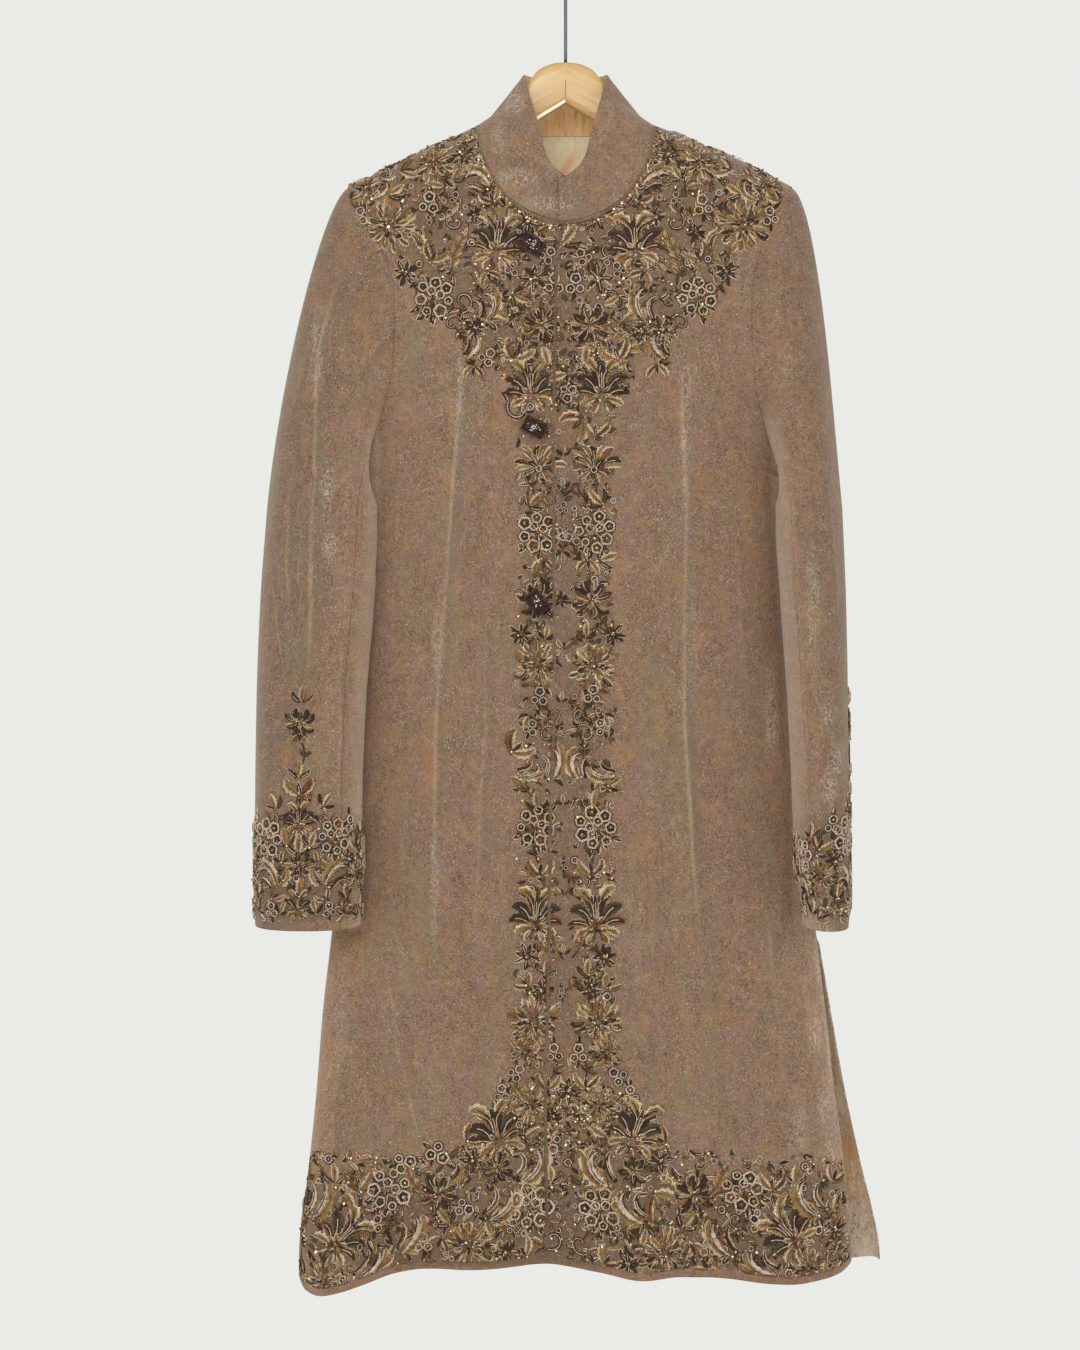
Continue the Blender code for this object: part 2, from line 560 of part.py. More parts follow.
def button(number, across, height, turn, panel, collection, beads):
    """A small domed block of beadwork, sewn flat on the outer face of the left front."""
    long, short, thick = BUTTON_SIZE
    step = 2.0
    spot = Vector((across, body_y(across, height), height))
    right = Vector((across + step, body_y(across + step, height), height)) - spot
    up = Vector((across, body_y(across, height + step), height + step)) - spot
    normal = right.cross(up).normalized()
    if normal.y > 0:
        normal.negate()
    right.normalize()
    up = normal.cross(right).normalized()
    turned = math.radians(-turn)
    along = right * math.cos(turned) + up * math.sin(turned)
    aside = normal.cross(along)
    bm = bmesh.new()
    bmesh.ops.create_cube(bm, size=1.0)
    bmesh.ops.scale(bm, vec=(long, short, thick), verts=bm.verts)
    bmesh.ops.bevel(bm, geom=list(bm.edges), offset=1.6, segments=2, profile=0.5, affect="EDGES")
    near = np.hypot(panel[..., 0] - across, panel[..., 2] - height) < BUTTON_REACH
    raised = BUTTON_GAP + max((Vector(point) - spot).dot(normal) for point in panel[near])
    place = Matrix((along, aside, normal)).transposed().to_4x4()
    place.translation = spot + normal * (thick / 2 + raised)
    bmesh.ops.transform(bm, matrix=place, verts=bm.verts)
    return finish(f"button_{number}", bm, collection, beads)


def build():
    for old in list(bpy.data.objects):
        bpy.data.objects.remove(old)
    coat = bpy.data.collections.new("sherwani_coat")
    bpy.context.scene.collection.children.link(coat)

    velvet = material("velvet", (0.262, 0.168, 0.118), 0.85)
    lining = material("lining", (0.52, 0.44, 0.27), 0.55)
    beads = material("brown_beads", (0.05, 0.018, 0.014), 0.35)
    wood = material("maple", (0.68, 0.47, 0.23), 0.45)
    steel = material("steel", (0.33, 0.33, 0.34), 0.35, 1.0)

    for side, name in ((-1, "front_left"), (1, "front_right")):
        grid, normals, relief = front_panel(side)
        wall(name, grid, normals, CLOTH, coat, velvet, relief=relief)
        if side < 0:
            for number, (across, height, turn) in enumerate(BUTTONS, start=1):
                button(number, across, height, turn, grid + normals * relief[:, :, None], coat, beads)
    back, normals = back_panel()
    wall("back", back, normals, CLOTH, coat, velvet)
    patch = back[LINING_PATCH] - normals[LINING_PATCH] * (CLOTH + LAYER)
    wall("back_lining", patch, normals[LINING_PATCH], LINING_CLOTH, coat, lining)
    for side, name in ((-1, "left"), (1, "right")):
        top, under = sleeve_pieces(side)
        wall(f"sleeve_top_{name}", *top[:2], CLOTH, coat, velvet, relief=top[2])
        wall(f"sleeve_under_{name}", *under[:2], CLOTH, coat, velvet, relief=under[2])
    band = collar_grid()
    wall("collar", band, normals_of(band), COLLAR_CLOTH, coat, velvet)
    for side in (-1, 1):
        hanger_arm(side, coat, wood)
    hook(coat, steel)


build()
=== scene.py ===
import math

import bpy
import numpy as np
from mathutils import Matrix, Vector


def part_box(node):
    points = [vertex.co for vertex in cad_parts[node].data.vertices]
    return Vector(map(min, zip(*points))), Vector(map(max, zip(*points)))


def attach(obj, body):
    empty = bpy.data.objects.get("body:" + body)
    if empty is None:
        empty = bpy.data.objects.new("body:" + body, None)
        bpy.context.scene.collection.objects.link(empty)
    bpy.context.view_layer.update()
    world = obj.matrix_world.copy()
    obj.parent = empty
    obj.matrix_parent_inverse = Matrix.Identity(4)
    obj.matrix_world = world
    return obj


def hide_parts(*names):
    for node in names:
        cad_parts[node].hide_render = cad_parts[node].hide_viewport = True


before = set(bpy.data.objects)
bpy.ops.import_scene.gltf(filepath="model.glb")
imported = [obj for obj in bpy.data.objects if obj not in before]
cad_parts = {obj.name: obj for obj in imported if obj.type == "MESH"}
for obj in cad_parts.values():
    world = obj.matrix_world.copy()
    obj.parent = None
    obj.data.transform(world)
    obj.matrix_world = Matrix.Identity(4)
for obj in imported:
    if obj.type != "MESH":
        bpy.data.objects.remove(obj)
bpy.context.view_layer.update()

mm = 0.001
print("frame loaded")

# the coat's form, in mm, the same as its solids
cloth = dict(
    thick=1.8, collarThick=2.6, liningThick=1.0,
    seam=0.3, collarSeam=0.2, layer=0.45,
    neckPoint=-172.0, neckBase=-267.0, backNeck=-173.5, neckWidth=78.0,
    shoulderTip=-228.0, underarm=-490.0, slitTop=-908.0, hem=-1186.0, hemStart=-900.0,
    turnedEdge=6.0,  # the strip turned up at hem and cuffs
)

body = dict(
    z=(-172, -181, -193, -205, -220, -228, -243, -270, -300, -364, -400, -436, -463, -490,
       -520, -600, -700, -800, -905, -960, -1030, -1102, -1138, -1175, -1225),
    left=(79, 97, 123, 150, 179, 196, 211, 222, 226, 220, 210, 199.5, 192, 185.5,
          181, 182, 189, 198.5, 211, 218, 224, 232, 237, 239, 239),
    right=(79, 102, 131, 160, 188, 204, 216, 225, 228, 223, 215, 206.5, 200, 195,
           192, 195, 204, 213.5, 226, 233, 241, 250, 254, 256, 256),
    front=(44, 47, 52, 56, 60, 62, 65, 69, 73, 78, 80, 80, 79, 78,
           77, 72, 66, 62, 58, 57, 57, 58, 59, 60, 60),
    back=(45, 48, 52, 55, 58, 60, 62, 64, 66, 68, 68, 68, 67, 66,
          65, 62, 58, 56, 54, 54, 54, 55, 55, 56, 56),
    middle=(0, 0, 0, 0, 1, 1, 2, 3, 4, 6, 8, 9, 10, 10,
            10, 8, 6, 4, 2, 2, 1, 0, 0, 0, 0),
    square=(2.0, 2.0, 2.05, 2.1, 2.15, 2.2, 2.2, 2.25, 2.3, 2.4, 2.45, 2.5, 2.55, 2.6,
            2.6, 2.7, 2.8, 2.9, 3.0, 3.0, 3.0, 3.0, 3.0, 3.0, 3.0),
)
backFlare = dict(z=(-905, -960, -1030, -1102, -1138, -1175, -1225),
                 left=(0, -1, -2, -3, -3, -3, -3), right=(2, 5, 10, 17, 22, 27, 30))
armhole = dict(
    z=(-228, -235, -243, -270, -300, -328, -364, -400, -430, -455, -475, -490),
    left=(1.0, 0.925, 0.86, 0.755, 0.695, 0.675, 0.685, 0.73, 0.80, 0.875, 0.945, 1.0),
    right=(1.0, 0.935, 0.88, 0.79, 0.74, 0.722, 0.735, 0.77, 0.825, 0.885, 0.945, 1.0),
    back=(1.0, 0.955, 0.91, 0.83, 0.78, 0.76, 0.77, 0.80, 0.85, 0.90, 0.95, 1.0),
)
hemFront = dict(x=(-240, -232, -219, -200, -178, -150, -122, -90, -60, -16, 30, 68, 100, 140, 180, 203, 228, 243, 257),
                z=(-1199, -1212, -1216, -1212, -1204, -1193, -1188, -1190, -1189, -1185, -1192, -1199, -1196,
                   -1198, -1203, -1204, -1201, -1197, -1188))
hemBack = dict(x=(-240, -180, -90, 0, 90, 180, 240, 288), z=(-1200, -1194, -1198, -1192, -1198, -1194, -1200, -1192))
rightEdge = dict(z=(-267, -290, -328, -500, -690, -770, -950, -1040, -1190),
                 x=(-1, -7, -9, -11, -10, -13, -16, -18, -16))
leftEdge = dict(z=(-267, -285, -320, -1190), x=(0, 14, 24, 26))

# top z, foot z, x at the top, x at the foot, half width, height
frontFolds = (
    (-380, -900, -95, -119, 11, 3.0),
    (-640, -1060, -69, -74, 16, 1.8),
    (-860, -1200, -158, -128, 16, 3.4),
    (-880, -1230, -214, -222, 24, 4.0),
    (-940, -1230, -45, -40, 30, -4.0),
    (-440, -960, 108, 114, 11, 3.2),
    (-820, -1220, 62, 68, 30, 4.2),
    (-860, -1220, 128, 122, 20, -3.4),
    (-800, -1220, 172, 198, 24, 3.6),
)
backFolds = (
    (-560, -1230, -96, -126, 26, 5.0),
    (-820, -1230, -190, -200, 22, 4.0),
    (-620, -1230, 20, 8, 24, 4.4),
    (-520, -1230, 100, 142, 26, 5.0),
    (-860, -1230, 196, 232, 22, 4.0),
)
# Finer creases: heights down the coat, x at each, half width, height, how much painted highlight the pile gets along
# it, partly standing for crushed pile (painted shade where below nought)
frontCreases = (
    ((-370, -512, -626, -732, -880), (-91, -100, -110, -115, -119), 5, 0.9, 0.9),
    ((-370, -512, -600, -705, -828, -940), (98, 107, 103, 105, 111, 122), 5, 0.9, 0.9),
    ((-590, -720, -830, -930), (-69, -72, -78, -82), 6, 0.7, 0.45),
    ((-800, -900, -1000), (-96, -90, -84), 6, -0.7, -0.3),
    ((-925, -1000, -1062, -1096), (-158, -148, -132, -122), 4, 1.0, 0.5),
    ((-940, -1010, -1080), (-170, -160, -146), 4, -0.8, -0.3),
    ((-1000, -1090, -1180), (-203, -208, -210), 7, 1.0, 0.3),
    ((-470, -560, -660), (-146, -152, -156), 5, 0.7, 0.3),
    ((-420, -500, -580), (-62, -74, -84), 6, -0.6, -0.2),
    ((-640, -760, -880), (-134, -140, -148), 7, 0.6, 0.25),
    ((-520, -640, -780), (148, 156, 166), 6, 0.7, 0.3),
    ((-860, -960, -1060), (176, 186, 198), 5, 0.9, 0.35),
    ((-840, -930, -1020), (62, 57, 52), 7, -0.8, -0.3),
    ((-978, -1000, -1016), (74, 77, 82), 2.4, -1.3, -0.9),
    ((-400, -460, -520), (134, 128, 122), 6, -0.6, -0.2),
    ((-700, -820, -960), (76, 74, 78), 8, 0.7, 0.3),
    ((-900, -1000, -1090), (132, 136, 140), 5, -0.8, -0.3),
    ((-250, -330, -420), (-150, -140, -128), 7, 0.5, 0.2),
    ((-250, -330, -420), (160, 150, 140), 7, 0.5, 0.2),
)
backCreases = (
    ((-290, -380, -480), (-120, -140, -158), 6, 0.9, 0.5),
    ((-290, -380, -490), (124, 146, 164), 6, 0.9, 0.5),
    ((-400, -560, -720), (-40, -52, -66), 6, 0.8, 0.4),
    ((-370, -520, -660), (58, 72, 86), 6, 0.8, 0.4),
    ((-600, -800, -1020), (-104, -118, -134), 5, 1.1, 0.6),
    ((-540, -740, -920), (10, 4, 2), 6, 0.9, 0.5),
    ((-590, -800, -1000), (118, 132, 152), 5, 1.0, 0.6),
    ((-750, -900, -1070), (-180, -190, -198), 7, 0.9, 0.3),
    ((-810, -960, -1130), (190, 206, 228), 7, 1.0, 0.4),
    ((-880, -1000, -1130), (-60, -56, -50), 8, -0.9, -0.4),
    ((-860, -990, -1120), (72, 70, 62), 8, -0.9, -0.4),
    ((-230, -262, -300), (-60, -44, -36), 8, -0.5, -0.2),
    ((-230, -262, -300), (62, 46, 36), 8, -0.5, -0.2),
)

sleeveLeft = dict(z=(-520, -600, -690, -780, -868, -893), outer=(-267, -272, -274.5, -275, -275, -274),
                  inner=(-167, -172, -180, -183, -181, -182), middle=(-14, -24, -34, -42, -47, -48),
                  depth=(68, 63, 58, 54, 48, 46), square=(2.2, 2.2, 2.25, 2.3, 2.3, 2.3))
sleeveRight = dict(z=(-520, -600, -690, -780, -868, -893), outer=(246.5, 249, 250, 250.5, 250.5, 249),
                   inner=(190, 196, 202, 206, 209, 210), middle=(-14, -22, -30, -36, -40, -41),
                   depth=(76, 73, 67, 61, 55, 53), square=(2.2, 2.2, 2.25, 2.3, 2.3, 2.3))
sleeve = dict(bicep=-520.0, cuff=-886.0, cuffSlope=0.06, clear=3.2, under=(30, 57),
              capLift=0.085, capMore=0.17, capFall=0.34, steps=84)
# Creases of a sleeve: side, heights, turn round the sleeve at each, half width in degrees, height, painted highlight
# along it, partly standing for crushed pile (painted shade where below nought)
sleeveCreases = (
    (-1, (-300, -340, -380, -440, -500, -600, -690), (36, 40, 46, 67, 84, 88, 90), 4.5, 0.9, 0.9),
    (-1, (-560, -610, -670), (36, 52, 68), 4, 0.6, 0.45),
    (-1, (-480, -560, -640), (58, 62, 72), 4, 0.8, 0.6),
    (-1, (-300, -420, -540), (96, 90, 86), 7, -0.7, -0.3),
    (-1, (-360, -470, -580), (34, 38, 44), 8, 0.7, 0.3),
    (-1, (-470, -620, -780), (104, 98, 92), 6, -0.6, -0.3),
    (-1, (-600, -720, -840), (120, 124, 128), 7, 0.7, 0.4),
    (-1, (-470, -580, -710), (300, 296, 290), 8, 1.0, 0.4),
    (-1, (-400, -520, -650), (334, 328, 320), 8, -0.9, -0.3),
    (-1, (-520, -660, -800), (266, 270, 276), 7, 0.8, 0.4),
    (1, (-672, -712, -752), (112, 84, 51), 6, 0.9, 0.6),
    (1, (-420, -530, -650), (70, 62, 54), 7, 0.8, 0.5),
    (1, (-380, -490, -600), (98, 92, 84), 6, -0.7, -0.3),
    (1, (-520, -610, -700), (36, 38, 42), 6, 0.7, 0.3),
    (1, (-540, -680, -820), (140, 132, 124), 7, 0.8, 0.5),
    (1, (-460, -570, -700), (304, 300, 294), 8, 1.0, 0.4),
    (1, (-520, -640, -770), (336, 330, 324), 8, -0.9, -0.3),
    (1, (-560, -690, -820), (266, 270, 276), 7, 0.8, 0.4),
)

collarTop = dict(v=(0.0, 0.10, 0.22, 0.34, 0.46, 0.58, 0.72, 0.86, 1.0),
                 x=(0, 9, 17.5, 23, 30, 38.5, 36, 22, 0), y=(-62, -58, -49, -37, -22, -2, 18, 30, 34),
                 z=(-230, -222, -205, -181, -155, -128, -123, -123, -124))
collar = dict(lap=11.0, hollow=-0.5)


def smooth(table, column, at, key="z"):  # a smooth curve through a table's rows that never overshoots
    keys, values = np.array(table[key], float), np.array(table[column], float)
    if keys[0] > keys[-1]:
        keys, values = keys[::-1], values[::-1]
    at = np.clip(np.asarray(at, float), keys[0], keys[-1])
    i = np.clip(np.searchsorted(keys, at) - 1, 0, len(keys) - 2)
    slopes = np.diff(values) / np.diff(keys)
    product, total = slopes[:-1] * slopes[1:], slopes[:-1] + slopes[1:]
    inner = np.where(product <= 0, 0.0, 2 * product / np.where(total == 0, 1.0, total))
    tangents = np.concatenate([slopes[:1], inner, slopes[-1:]])
    step = keys[i + 1] - keys[i]
    t = (at - keys[i]) / step
    return ((1 + 2 * t) * (1 - t) ** 2 * values[i] + t * (1 - t) ** 2 * step * tangents[i]
            + t * t * (3 - 2 * t) * values[i + 1] + t * t * (t - 1) * step * tangents[i + 1])


def ramp(value, start, end):
    t = np.clip((np.asarray(value, float) - start) / (end - start), 0.0, 1.0)
    return t * t * (3 - 2 * t)


def halfWidth(z, right, behind=False):
    width = np.where(right, smooth(body, "right", z), smooth(body, "left", z))
    if behind:
        flare = np.where(right, smooth(backFlare, "right", z), smooth(backFlare, "left", z))
        width = width + np.where(z < backFlare["z"][0], flare, 0.0)
    return width


def foldHeight(folds, x, z):
    total = 0.0
    for top, foot, xTop, xFoot, width, height in folds:
        along = np.clip((top - z) / (top - foot), 0.0, 1.0)
        total = total + height * ramp(along, 0.0, 0.35) * np.exp(-(((x - xTop - (xFoot - xTop) * along) / width) ** 2))
    return total


def alongCrease(crease, k, x, z):  # how far a point is to the side of a crease, and how strong the crease is there
    heights, places = crease[:2]
    t = (heights[0] - z) / (heights[0] - heights[-1])
    swell = ramp(t, -0.02, 0.22) * ramp(1 - t, -0.02, 0.3) * (0.76 + 0.24 * np.sin(9.0 * t + 1.7 * k))
    return x - np.interp(-z, [-h for h in heights], places) - 0.8 * np.sin(17.0 * t + k), swell


def creaseHeight(creases, x, z):  # soft ridges and troughs that swell and fade along their length
    total = 0.0
    for k, crease in enumerate(creases):
        away, swell = alongCrease(crease, k, x, z)
        total = total + crease[3] * swell * np.exp(-((away / crease[2]) ** 2))
    return total


def creaseLines(creases, x, z):  # two sets of (distance, painted highlight, negative for painted shade) for the finish to draw the creases with
    sets = []
    for first in (0, 1):
        nearest, light = np.full(np.shape(x + z), 99.0), np.zeros(np.shape(x + z))
        for k in range(first, len(creases), 2):
            away, swell = alongCrease(creases[k], k, x, z)
            closer = np.abs(away) < np.abs(nearest)
            nearest = np.where(closer, away, nearest)
            light = np.where(closer, np.where(np.abs(away) < 13, creases[k][4] * swell, 0.0), light)
        sets.append(np.stack([np.clip(nearest, -14, 14), light, np.zeros_like(light)], axis=-1))
    return np.stack(sets)


def bodyY(x, z, behind=False, creased=True):  # the cloth's outer face on the body
    x, z = np.broadcast_arrays(np.asarray(x, float), np.asarray(z, float))
    share = np.minimum(1.0, np.abs(x) / halfWidth(z, x >= 0, behind))
    square = smooth(body, "square", z)
    bulge = np.maximum(0.0, 1 - share ** square) ** (1 / square)
    middle = smooth(body, "middle", z)
    opened = 7.0 * ramp(-z, -cloth["slitTop"], 1190) * share ** 4
    folds = foldHeight(backFolds if behind else frontFolds, x, z)
    if creased:
        folds = folds + creaseHeight(backCreases if behind else frontCreases, x, z)
    if behind:
        return middle + opened + smooth(body, "back", z) * bulge + folds * bulge
    return middle - opened - smooth(body, "front", z) * bulge - folds * bulge


def alongSection(z, xFrom, xTo, shares, behind=False):
    side = 1 if xTo > 0 else -1
    width = float(halfWidth(z, side > 0, behind))
    xs = side * width * np.sin(np.linspace(math.asin(max(-1.0, side * xFrom / width)), math.pi / 2, 240))
    line = np.stack([xs, bodyY(xs, z, behind, creased=False)], axis=1)
    length = np.concatenate([[0], np.cumsum(np.hypot(*np.diff(line, axis=0).T))])
    kept = np.interp(side * xTo, side * line[:, 0], length) / length[-1]
    wanted = shares * length[-1] / (1 + (1 / kept - 1) * shares ** 1.6)
    return np.interp(wanted, length, line[:, 0])


def hemRow(x, z, hem):
    weight = np.maximum(0.0, (cloth["hemStart"] - z) / (cloth["hemStart"] - cloth["hem"]))
    return z + weight * (smooth(hem, "z", x, key="x") - cloth["hem"])


def normalsOf(grid, outward=1, seams=(), ring=False):
    across = np.roll(grid, -1, axis=1) - np.roll(grid, 1, axis=1) if ring else np.gradient(grid, axis=1)
    normal = np.cross(np.gradient(grid, axis=0), across) * outward
    for column, rows in seams:
        normal[rows, column, 1] = 0.0
    return normal / np.maximum(np.linalg.norm(normal, axis=2, keepdims=True), 1e-12)


def outerShare(z, which):
    return 1.0 if z >= cloth["shoulderTip"] or z <= cloth["underarm"] else float(smooth(armhole, which, z))


def settled(x, z):  # the right front's edge sinks a little on to the cloth under it
    edge = smooth(rightEdge, "x", z)
    return 2.05 * (1 - ramp(x, edge, edge + 22)) * ramp(-np.asarray(z, float), 268, 290)


def covered(x, z):  # how far the left front has gone under the right one
    edge = smooth(rightEdge, "x", z)
    return ramp(x, edge - 30, edge - 8) * (np.asarray(x) < 40)


def addPiece(name, points, faces, materials, picks=None, uv=None, uvName="Cut", wear=None, light=None):
    # points in mm; faces is an array of quads or triangles; picks gives each face its material
    mesh = bpy.data.meshes.new(name)
    faces = np.asarray(faces)
    count, corners = faces.shape
    mesh.vertices.add(len(points))
    mesh.vertices.foreach_set("co", (np.asarray(points, float) * mm).astype(np.float32).ravel())
    mesh.loops.add(count * corners)
    mesh.loops.foreach_set("vertex_index", faces.astype(np.int32).ravel())
    mesh.polygons.add(count)
    mesh.polygons.foreach_set("loop_start", np.arange(0, count * corners, corners, dtype=np.int32))
    mesh.polygons.foreach_set("loop_total", np.full(count, corners, dtype=np.int32))
    mesh.polygons.foreach_set("use_smooth", np.ones(count, bool))
    for made in materials:
        mesh.materials.append(made)
    if picks is not None:
        mesh.polygons.foreach_set("material_index", np.asarray(picks, np.int32))
    if uv is not None:
        layer = mesh.uv_layers.new(name=uvName)
        layer.uv.foreach_set("vector", np.asarray(uv, float)[faces.ravel()].astype(np.float32).ravel())
    if wear is not None:
        mesh.attributes.new("Wear", "FLOAT", "POINT").data.foreach_set("value", np.asarray(wear, np.float32))
    if light is not None:
        for which, lines in zip(("CreaseA", "CreaseB", "Deep"), light):
            layer = mesh.attributes.new(which, "FLOAT_VECTOR", "POINT")
            layer.data.foreach_set("vector", lines.astype(np.float32).ravel())
    mesh.update(calc_edges=True)
    if light is not None:
        mesh.set_sharp_from_angle(angle=math.radians(62))
    made = bpy.data.objects.new(name, mesh)
    bpy.context.scene.collection.objects.link(made)
    return made


def gridFaces(rows, columns, start=0, flip=False):
    i, j = np.meshgrid(np.arange(rows - 1), np.arange(columns - 1), indexing="ij")
    a = start + i * columns + j
    quads = np.stack([a, a + columns, a + columns + 1, a + 1], axis=2).reshape(-1, 4)
    return quads[:, ::-1] if flip else quads


def tubeFaces(rows, columns, start=0):
    i, j = np.meshgrid(np.arange(rows - 1), np.arange(columns), indexing="ij")
    k = (j + 1) % columns
    return start + np.stack([i * columns + j, (i + 1) * columns + j, (i + 1) * columns + k, i * columns + k],
                            axis=2).reshape(-1, 4)


def lengths(line):  # how far along a line each of its points is
    return np.concatenate([[0], np.cumsum(np.linalg.norm(np.diff(line, axis=0), axis=1))])


def evenly(line, length, count, *others):  # points at even steps along a line, and what the others are there
    wanted = np.linspace(0, length[-1], count)
    return [np.stack([np.interp(wanted, length, values[:, k]) for k in range(3)], axis=1) for values in (line, *others)]


# where the pile is crushed: x, front -1 or back 1, z, reach across, reach down, strength
crushed = (
    (-46, -1, -150, 10, 16, 1.0), (-60, -1, -186, 8, 20, 0.6), (-44, -1, -228, 18, 9, 0.9),
    (-14, -1, -252, 22, 7, 0.9), (38, -1, -168, 8, 26, 0.4), (-209, -1, -500, 7, 24, 0.8),
    (-206, -1, -553, 7, 16, 0.8), (-112, -1, -640, 6, 46, 0.7), (-116, -1, -850, 5, 60, 0.6),
    (-93, -1, -430, 5, 60, 0.6), (105, -1, -455, 5, 64, 0.8), (110, -1, -640, 6, 90, 0.5),
    (183, -1, -700, 7, 44, 0.8), (214, -1, -610, 7, 60, 0.6), (228, -1, -700, 8, 14, 0.8),
    (236, -1, -740, 8, 16, 0.8), (228, -1, -765, 7, 14, 0.8), (222, -1, -880, 10, 60, 0.6),
    (222, -1, -985, 7, 22, 0.8), (230, -1, -1050, 8, 26, 0.7), (206, -1, -1070, 12, 40, 0.5),
    (60, -1, -905, 7, 70, 0.3), (-200, -1, -980, 10, 70, 0.4), (-60, -1, -1010, 8, 50, 0.3),
    (-220, -1, -380, 8, 50, 0.6), (-150, -1, -280, 26, 10, 0.5), (-244, -1, -600, 4, 90, 0.25),
    (242, -1, -400, 7, 60, 0.5), (266, 1, -1172, 20, 34, 1.5), (270, 1, -1120, 12, 20, 1.2),
    (246, 1, -1060, 8, 50, 1.3), (236, 1, -990, 10, 60, 1.6), (226, 1, -940, 10, 40, 1.5),
    (240, -1, -1010, 8, 90, 0.6), (230, -1, -920, 8, 40, 0.7), (236, -1, -1090, 9, 20, 0.7),
    (-60, 1, -420, 30, 50, 0.5), (80, 1, -560, 20, 70, 0.5), (-120, 1, -760, 14, 80, 0.6),
    (120, 1, -900, 16, 90, 0.6), (10, 1, -1000, 16, 90, 0.5), (-180, 1, -1080, 20, 60, 0.6),
    (150, 1, -330, 26, 30, 0.5), (-240, 1, -560, 16, 60, 0.6), (232, 1, -620, 14, 60, 0.6),
    (-246, 1, -760, 12, 50, 0.5),
)


def wearAt(points):
    x, y, z = points.T
    total = 0.0
    for cx, facing, cz, across, down, strength in crushed:
        near = np.exp(-(((x - cx) / across) ** 2) - ((z - cz) / down) ** 2)
        total = np.maximum(total, strength * near * (y * facing > -20))
    return total


centre = -0.3  # the embroidery is drawn on both sides of this line
embroidered = dict(z=(-172, -205, -225, -262, -290, -336, -360, -385, -410, -430, -480, -1000, -1040, -1085, -1095,
                      -1235),
                   reach=(196, 196, 196, 174, 150, 132, 104, 74, 54, 44, 42, 44, 60, 95, 256, 256))


def paintedLightAndStitches(grid, normals, side=0):
    # three vectors for each point: two creases with their painted highlight and shade, which also carry painted light
    # on cloth turned to the side and where fine stitches cover it, and how deep in a narrow place the point is, which
    # sets a painted glow
    x, z = grid[:, :, 0], grid[:, :, 2]
    if side == 0:
        behind = grid[:, :, 1].mean() > 0
        lines = creaseLines(backCreases if behind else frontCreases, x, z)
        # painted light: cloth turned to the side is lightened, the right side of the body more
        lines[0, :, :, 2] = ramp(np.abs(normals[:, :, 0]), 0.2, 0.8) * (1 + 0.3 * (x > 0))
        reach = smooth(embroidered, "reach", z)
        more = 1 + 0.2 * ramp(z, -450, -410) + 0.9 * ramp(-z, 1070, 1130)
        ground = ramp(reach + 4 - np.abs(x - centre), 0, 22) * ramp(z, -1190, -1184) * more
        ground = ground * (1 - ramp(np.abs(x), 80, 112) * (1 - ramp(-z, 1088, 1128)) * ramp(-z, 1040, 1060))
        lines[1, :, :, 2] = 0 if behind else ground
        # the strip of body under each sleeve's inner edge, where a painted glow lifts the shade
        inner = np.where(x < 0, -smooth(sleeveLeft, "inner", z) + 1, smooth(sleeveRight, "inner", z) - 3)
        deep = ramp(np.abs(x), inner - 7, inner + 1) * ramp(-z, 415, 465) * ramp(z, -895, -880)
        deep = deep * (0.0 if behind else 1.0)
    else:
        degrees = np.arange(grid.shape[1]) * 360 / grid.shape[1]
        lines = creaseLines([row[1:] for row in sleeveCreases if row[0] == side], degrees, z)
        # painted light on the side of the sleeve that faces the body, painted shade on its outer side
        gain, loss = (0.7, 0.3) if side > 0 else (1.4, 0.45)
        lines[0, :, :, 2] = ramp(-side * normals[:, :, 0], -0.2, 0.85) * gain - loss
        lines[1, :, :, 2] = 1.5 * ramp(-z, 784, 802) * ramp(z, sleeve["cuff"] + 6, sleeve["cuff"] + 9)
        # the sleeve's inner edge, where a painted glow lifts the shade
        deep = ramp(-side * normals[:, :, 0], 0.72, 1.0) * ramp(-z, 400, 450)
    return np.concatenate([lines, deep[None, :, :, None] * np.ones(3)])


